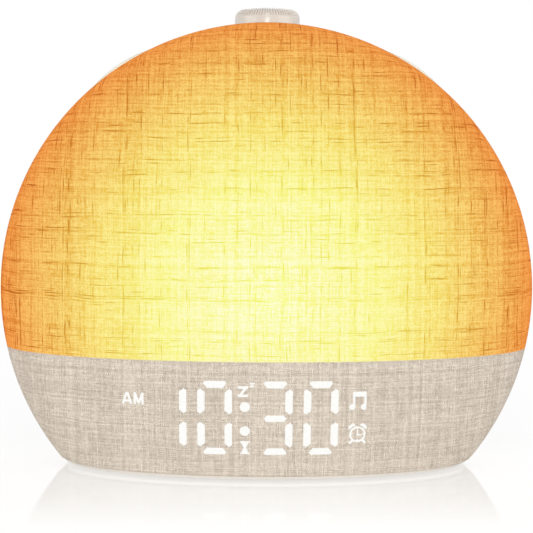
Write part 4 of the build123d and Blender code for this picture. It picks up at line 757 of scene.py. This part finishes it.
def finishes():
    """Materials of the solids, each with the nodes that wear it."""
    cream = linear(233, 225, 215)
    pale = linear(230, 222, 212)
    dark = linear(34, 34, 36)
    steel = linear(196, 197, 200)
    return [
        (moulded("satin_cream", cream, 0.42, shade=0.015), ["rear_casing"]),
        # The base plate's cream is paler than the casing's: painted light that lifts its rim out of
        # the shade under the cloth's overhang.
        (moulded("base_cream_painted_light", linear(242, 235, 225), 0.42, shade=0.015), ["base_plate"]),
        (moulded("knob_cream", pale, 0.16, grain=3200, relief=0.02), ["knob"]),
        # Pale cream of the buttons, made paler still: painted light that makes up for the shade in
        # the recess behind the cover's rim.
        (moulded("button_cream_painted_light", linear(249, 245, 229), 0.38, relief=0.02), [
            "left_button", "right_button", "set_button_left", "set_button_middle",
            "set_button_right"]),
        (moulded("opal_white", linear(243, 241, 234), 0.5), ["light_diffuser"]),
        (moulded("bright_white", linear(240, 240, 236), 0.35), [
            "inner_frame", "reflector", "connectors"]),
        (moulded("charcoal_plastic", dark, 0.48), [
            "front_fascia", "display_light_box", "cell_holder", "power_jack", "rim_switches",
            "set_switches"]),
        (moulded("plunger_black", linear(46, 46, 48), 0.35), [
            "left_plunger", "right_plunger", "set_plunger_left", "set_plunger_middle",
            "set_plunger_right", "encoder_rotor"]),
        (moulded("foot_rubber", linear(70, 70, 71), 0.8, grain=1400, relief=0.3), ["foot_pad"]),
        (moulded("lamp_phosphor", linear(244, 232, 170), 0.4), ["lamps", "display_lamps"]),
        (moulded("chip_epoxy", linear(28, 28, 30), 0.6, grain=4000, relief=0.2), ["chips"]),
        (moulded("ferrite", linear(58, 58, 60), 0.7, grain=1800, relief=0.25), [
            "inductor", "speaker_magnet"]),
        (moulded("surround_rubber", linear(40, 40, 41), 0.72), ["speaker_surround"]),
        (moulded("lead_jacket", linear(222, 220, 212), 0.5), [
            "display_ribbon", "lamp_lead", "encoder_lead", "speaker_lead", "switch_leads"]),
        (brushed("plated_steel", steel, 0.32), [
            "encoder_shaft", "encoder_nut", "short_screws", "casing_screws", "board_screws",
            "speaker_basket", "button_cell", "jack_pin"]),
        (brushed("pressed_metal", linear(180, 181, 184), 0.38), ["encoder_housing"]),
        (brushed("can_aluminium", linear(204, 205, 208), 0.3), ["capacitors"]),
        (banded("wound_copper", linear(196, 118, 70), linear(96, 52, 30), 0.3 * MM, "Y"), [
            "voice_coil"]),
        (board_mask(), [
            "lamp_board", "display_board", "encoder_board", "switch_boards", "main_board"]),
        (fibrous("pressed_paper", linear(62, 61, 60), 0.85, 1600, 0.3), ["speaker_cone"]),
        (fibrous("foam", linear(64, 64, 66), 0.92, 900, 0.6), ["speaker_gasket"]),
        (clear_plastic(), ["display_light_pipes"]),
    ]


def wear():
    """Gives each solid its material."""
    for material, names in finishes():
        for name in names:
            slots = frame["nodes"][name].data.materials
            slots.clear()
            slots.append(material)


def backdrop_share(tree):
    """One for a ray that shows the room, direct, mirrored or through clear plastic, else none."""
    rays = add(tree, "ShaderNodeLightPath").outputs
    seen = maths(tree, "MAXIMUM", rays["Is Camera Ray"], rays["Is Glossy Ray"])
    return maths(tree, "MAXIMUM", seen, rays["Is Transmission Ray"])


def floor():
    """White table top with a faint shine and the clock's shadow, plain white farther away."""
    data = bpy.data.meshes.new("table")
    corners = [(x * TABLE_HALF, y * TABLE_HALF, 0) for x, y in ((-1, -1), (1, -1), (1, 1), (-1, 1))]
    data.from_pydata(corners, [], [(0, 1, 2, 3)])
    table = bpy.data.objects.new("table", data)
    bpy.context.scene.collection.objects.link(table)
    material = bpy.data.materials.new("table_white")
    material.use_nodes = True
    tree = material.node_tree
    tree.nodes.clear()
    shown = backdrop_share(tree)
    coords = add(tree, "ShaderNodeTexCoord").outputs["Object"]
    paint = add(tree, "ShaderNodeBsdfDiffuse", {"Color": TABLE_PAINT})
    lifted = spread(tree, shown, 0, 1, TABLE_BOUNCE, TABLE_LIFT)
    lift = add(tree, "ShaderNodeEmission", {"Strength": lifted})
    body = add(tree, "ShaderNodeAddShader", {0: paint.outputs[0], 1: lift.outputs[0]})
    shine = add(tree, "ShaderNodeBsdfGlossy", {"Color": WHITE, "Roughness": SHINE_ROUGHNESS})
    nearness = add(tree, "ShaderNodeSeparateXYZ", {0: coords}).outputs[1]
    gloss = spread(tree, nearness, SHINE_END, SHINE_START, 0, TABLE_SHINE)
    near = add(tree, "ShaderNodeMixShader", {0: gloss, 1: body.outputs[0], 2: shine.outputs[0]})
    white = spread(tree, shown, 0, 1, TABLE_BOUNCE, 1.0)
    far = add(tree, "ShaderNodeEmission", {"Strength": white})
    distance = add(tree, "ShaderNodeVectorMath", {0: coords}, operation="LENGTH").outputs["Value"]
    share = spread(tree, distance, TABLE_NEAR, TABLE_FAR, 0, 1)
    mix = add(tree, "ShaderNodeMixShader", {0: share, 1: near.outputs[0], 2: far.outputs[0]})
    add(tree, "ShaderNodeOutputMaterial", {0: mix.outputs[0]})
    data.materials.append(material)


def world():
    """Even white room that also shows as a white background."""
    room = bpy.data.worlds.new("studio")
    bpy.context.scene.world = room
    room.use_nodes = True
    tree = room.node_tree
    tree.nodes.clear()
    light = add(tree, "ShaderNodeBackground", {"Color": WHITE, "Strength": ROOM_LIGHT})
    shown = add(tree, "ShaderNodeBackground", {"Color": WHITE, "Strength": 1.0})
    values = {0: backdrop_share(tree), 1: light.outputs[0], 2: shown.outputs[0]}
    mix = add(tree, "ShaderNodeMixShader", values)
    add(tree, "ShaderNodeOutputWorld", {0: mix.outputs[0]})


def lamp(name, place, width, height, power):
    """Soft lamp that looks at the object."""
    data = bpy.data.lights.new(name, "AREA")
    data.shape = "RECTANGLE"
    data.size = width
    data.size_y = height
    data.energy = power
    item = bpy.data.objects.new(name, data)
    item.location = place
    item.rotation_euler = (CENTRE - Vector(place)).to_track_quat("-Z", "Y").to_euler()
    bpy.context.scene.collection.objects.link(item)


def camera():
    """Camera at the photograph's place, with its framing."""
    level, rise = math.cos(CAMERA_ELEVATION), math.sin(CAMERA_ELEVATION)
    cosine, sine = math.cos(CAMERA_AZIMUTH), math.sin(CAMERA_AZIMUTH)
    back = Vector((sine * level, -cosine * level, rise))
    right = Vector((cosine, sine, 0))
    up = back.cross(right)
    axes = Matrix((right, up, back)).transposed().to_4x4()
    data = bpy.data.cameras.new("camera")
    data.sensor_width = SENSOR
    data.lens = SENSOR * FOCAL / IMAGE_SIDE
    data.shift_x = (IMAGE_SIDE / 2 - CENTRE_PIXEL[0]) / IMAGE_SIDE
    data.shift_y = (CENTRE_PIXEL[1] - IMAGE_SIDE / 2) / IMAGE_SIDE
    data.clip_start = CLIP_START
    item = bpy.data.objects.new("camera", data)
    place = Matrix.Translation(CENTRE + back * CAMERA_DISTANCE)
    item.matrix_world = place @ axes @ Matrix.Rotation(CAMERA_ROLL, 4, "Z")
    bpy.context.scene.collection.objects.link(item)
    bpy.context.scene.camera = item


wear()
cover()
display()
floor()
world()
for settings in LAMPS:
    lamp(*settings)
camera()
bpy.context.scene.view_settings.view_transform = "Standard"
bpy.context.view_layer.update()
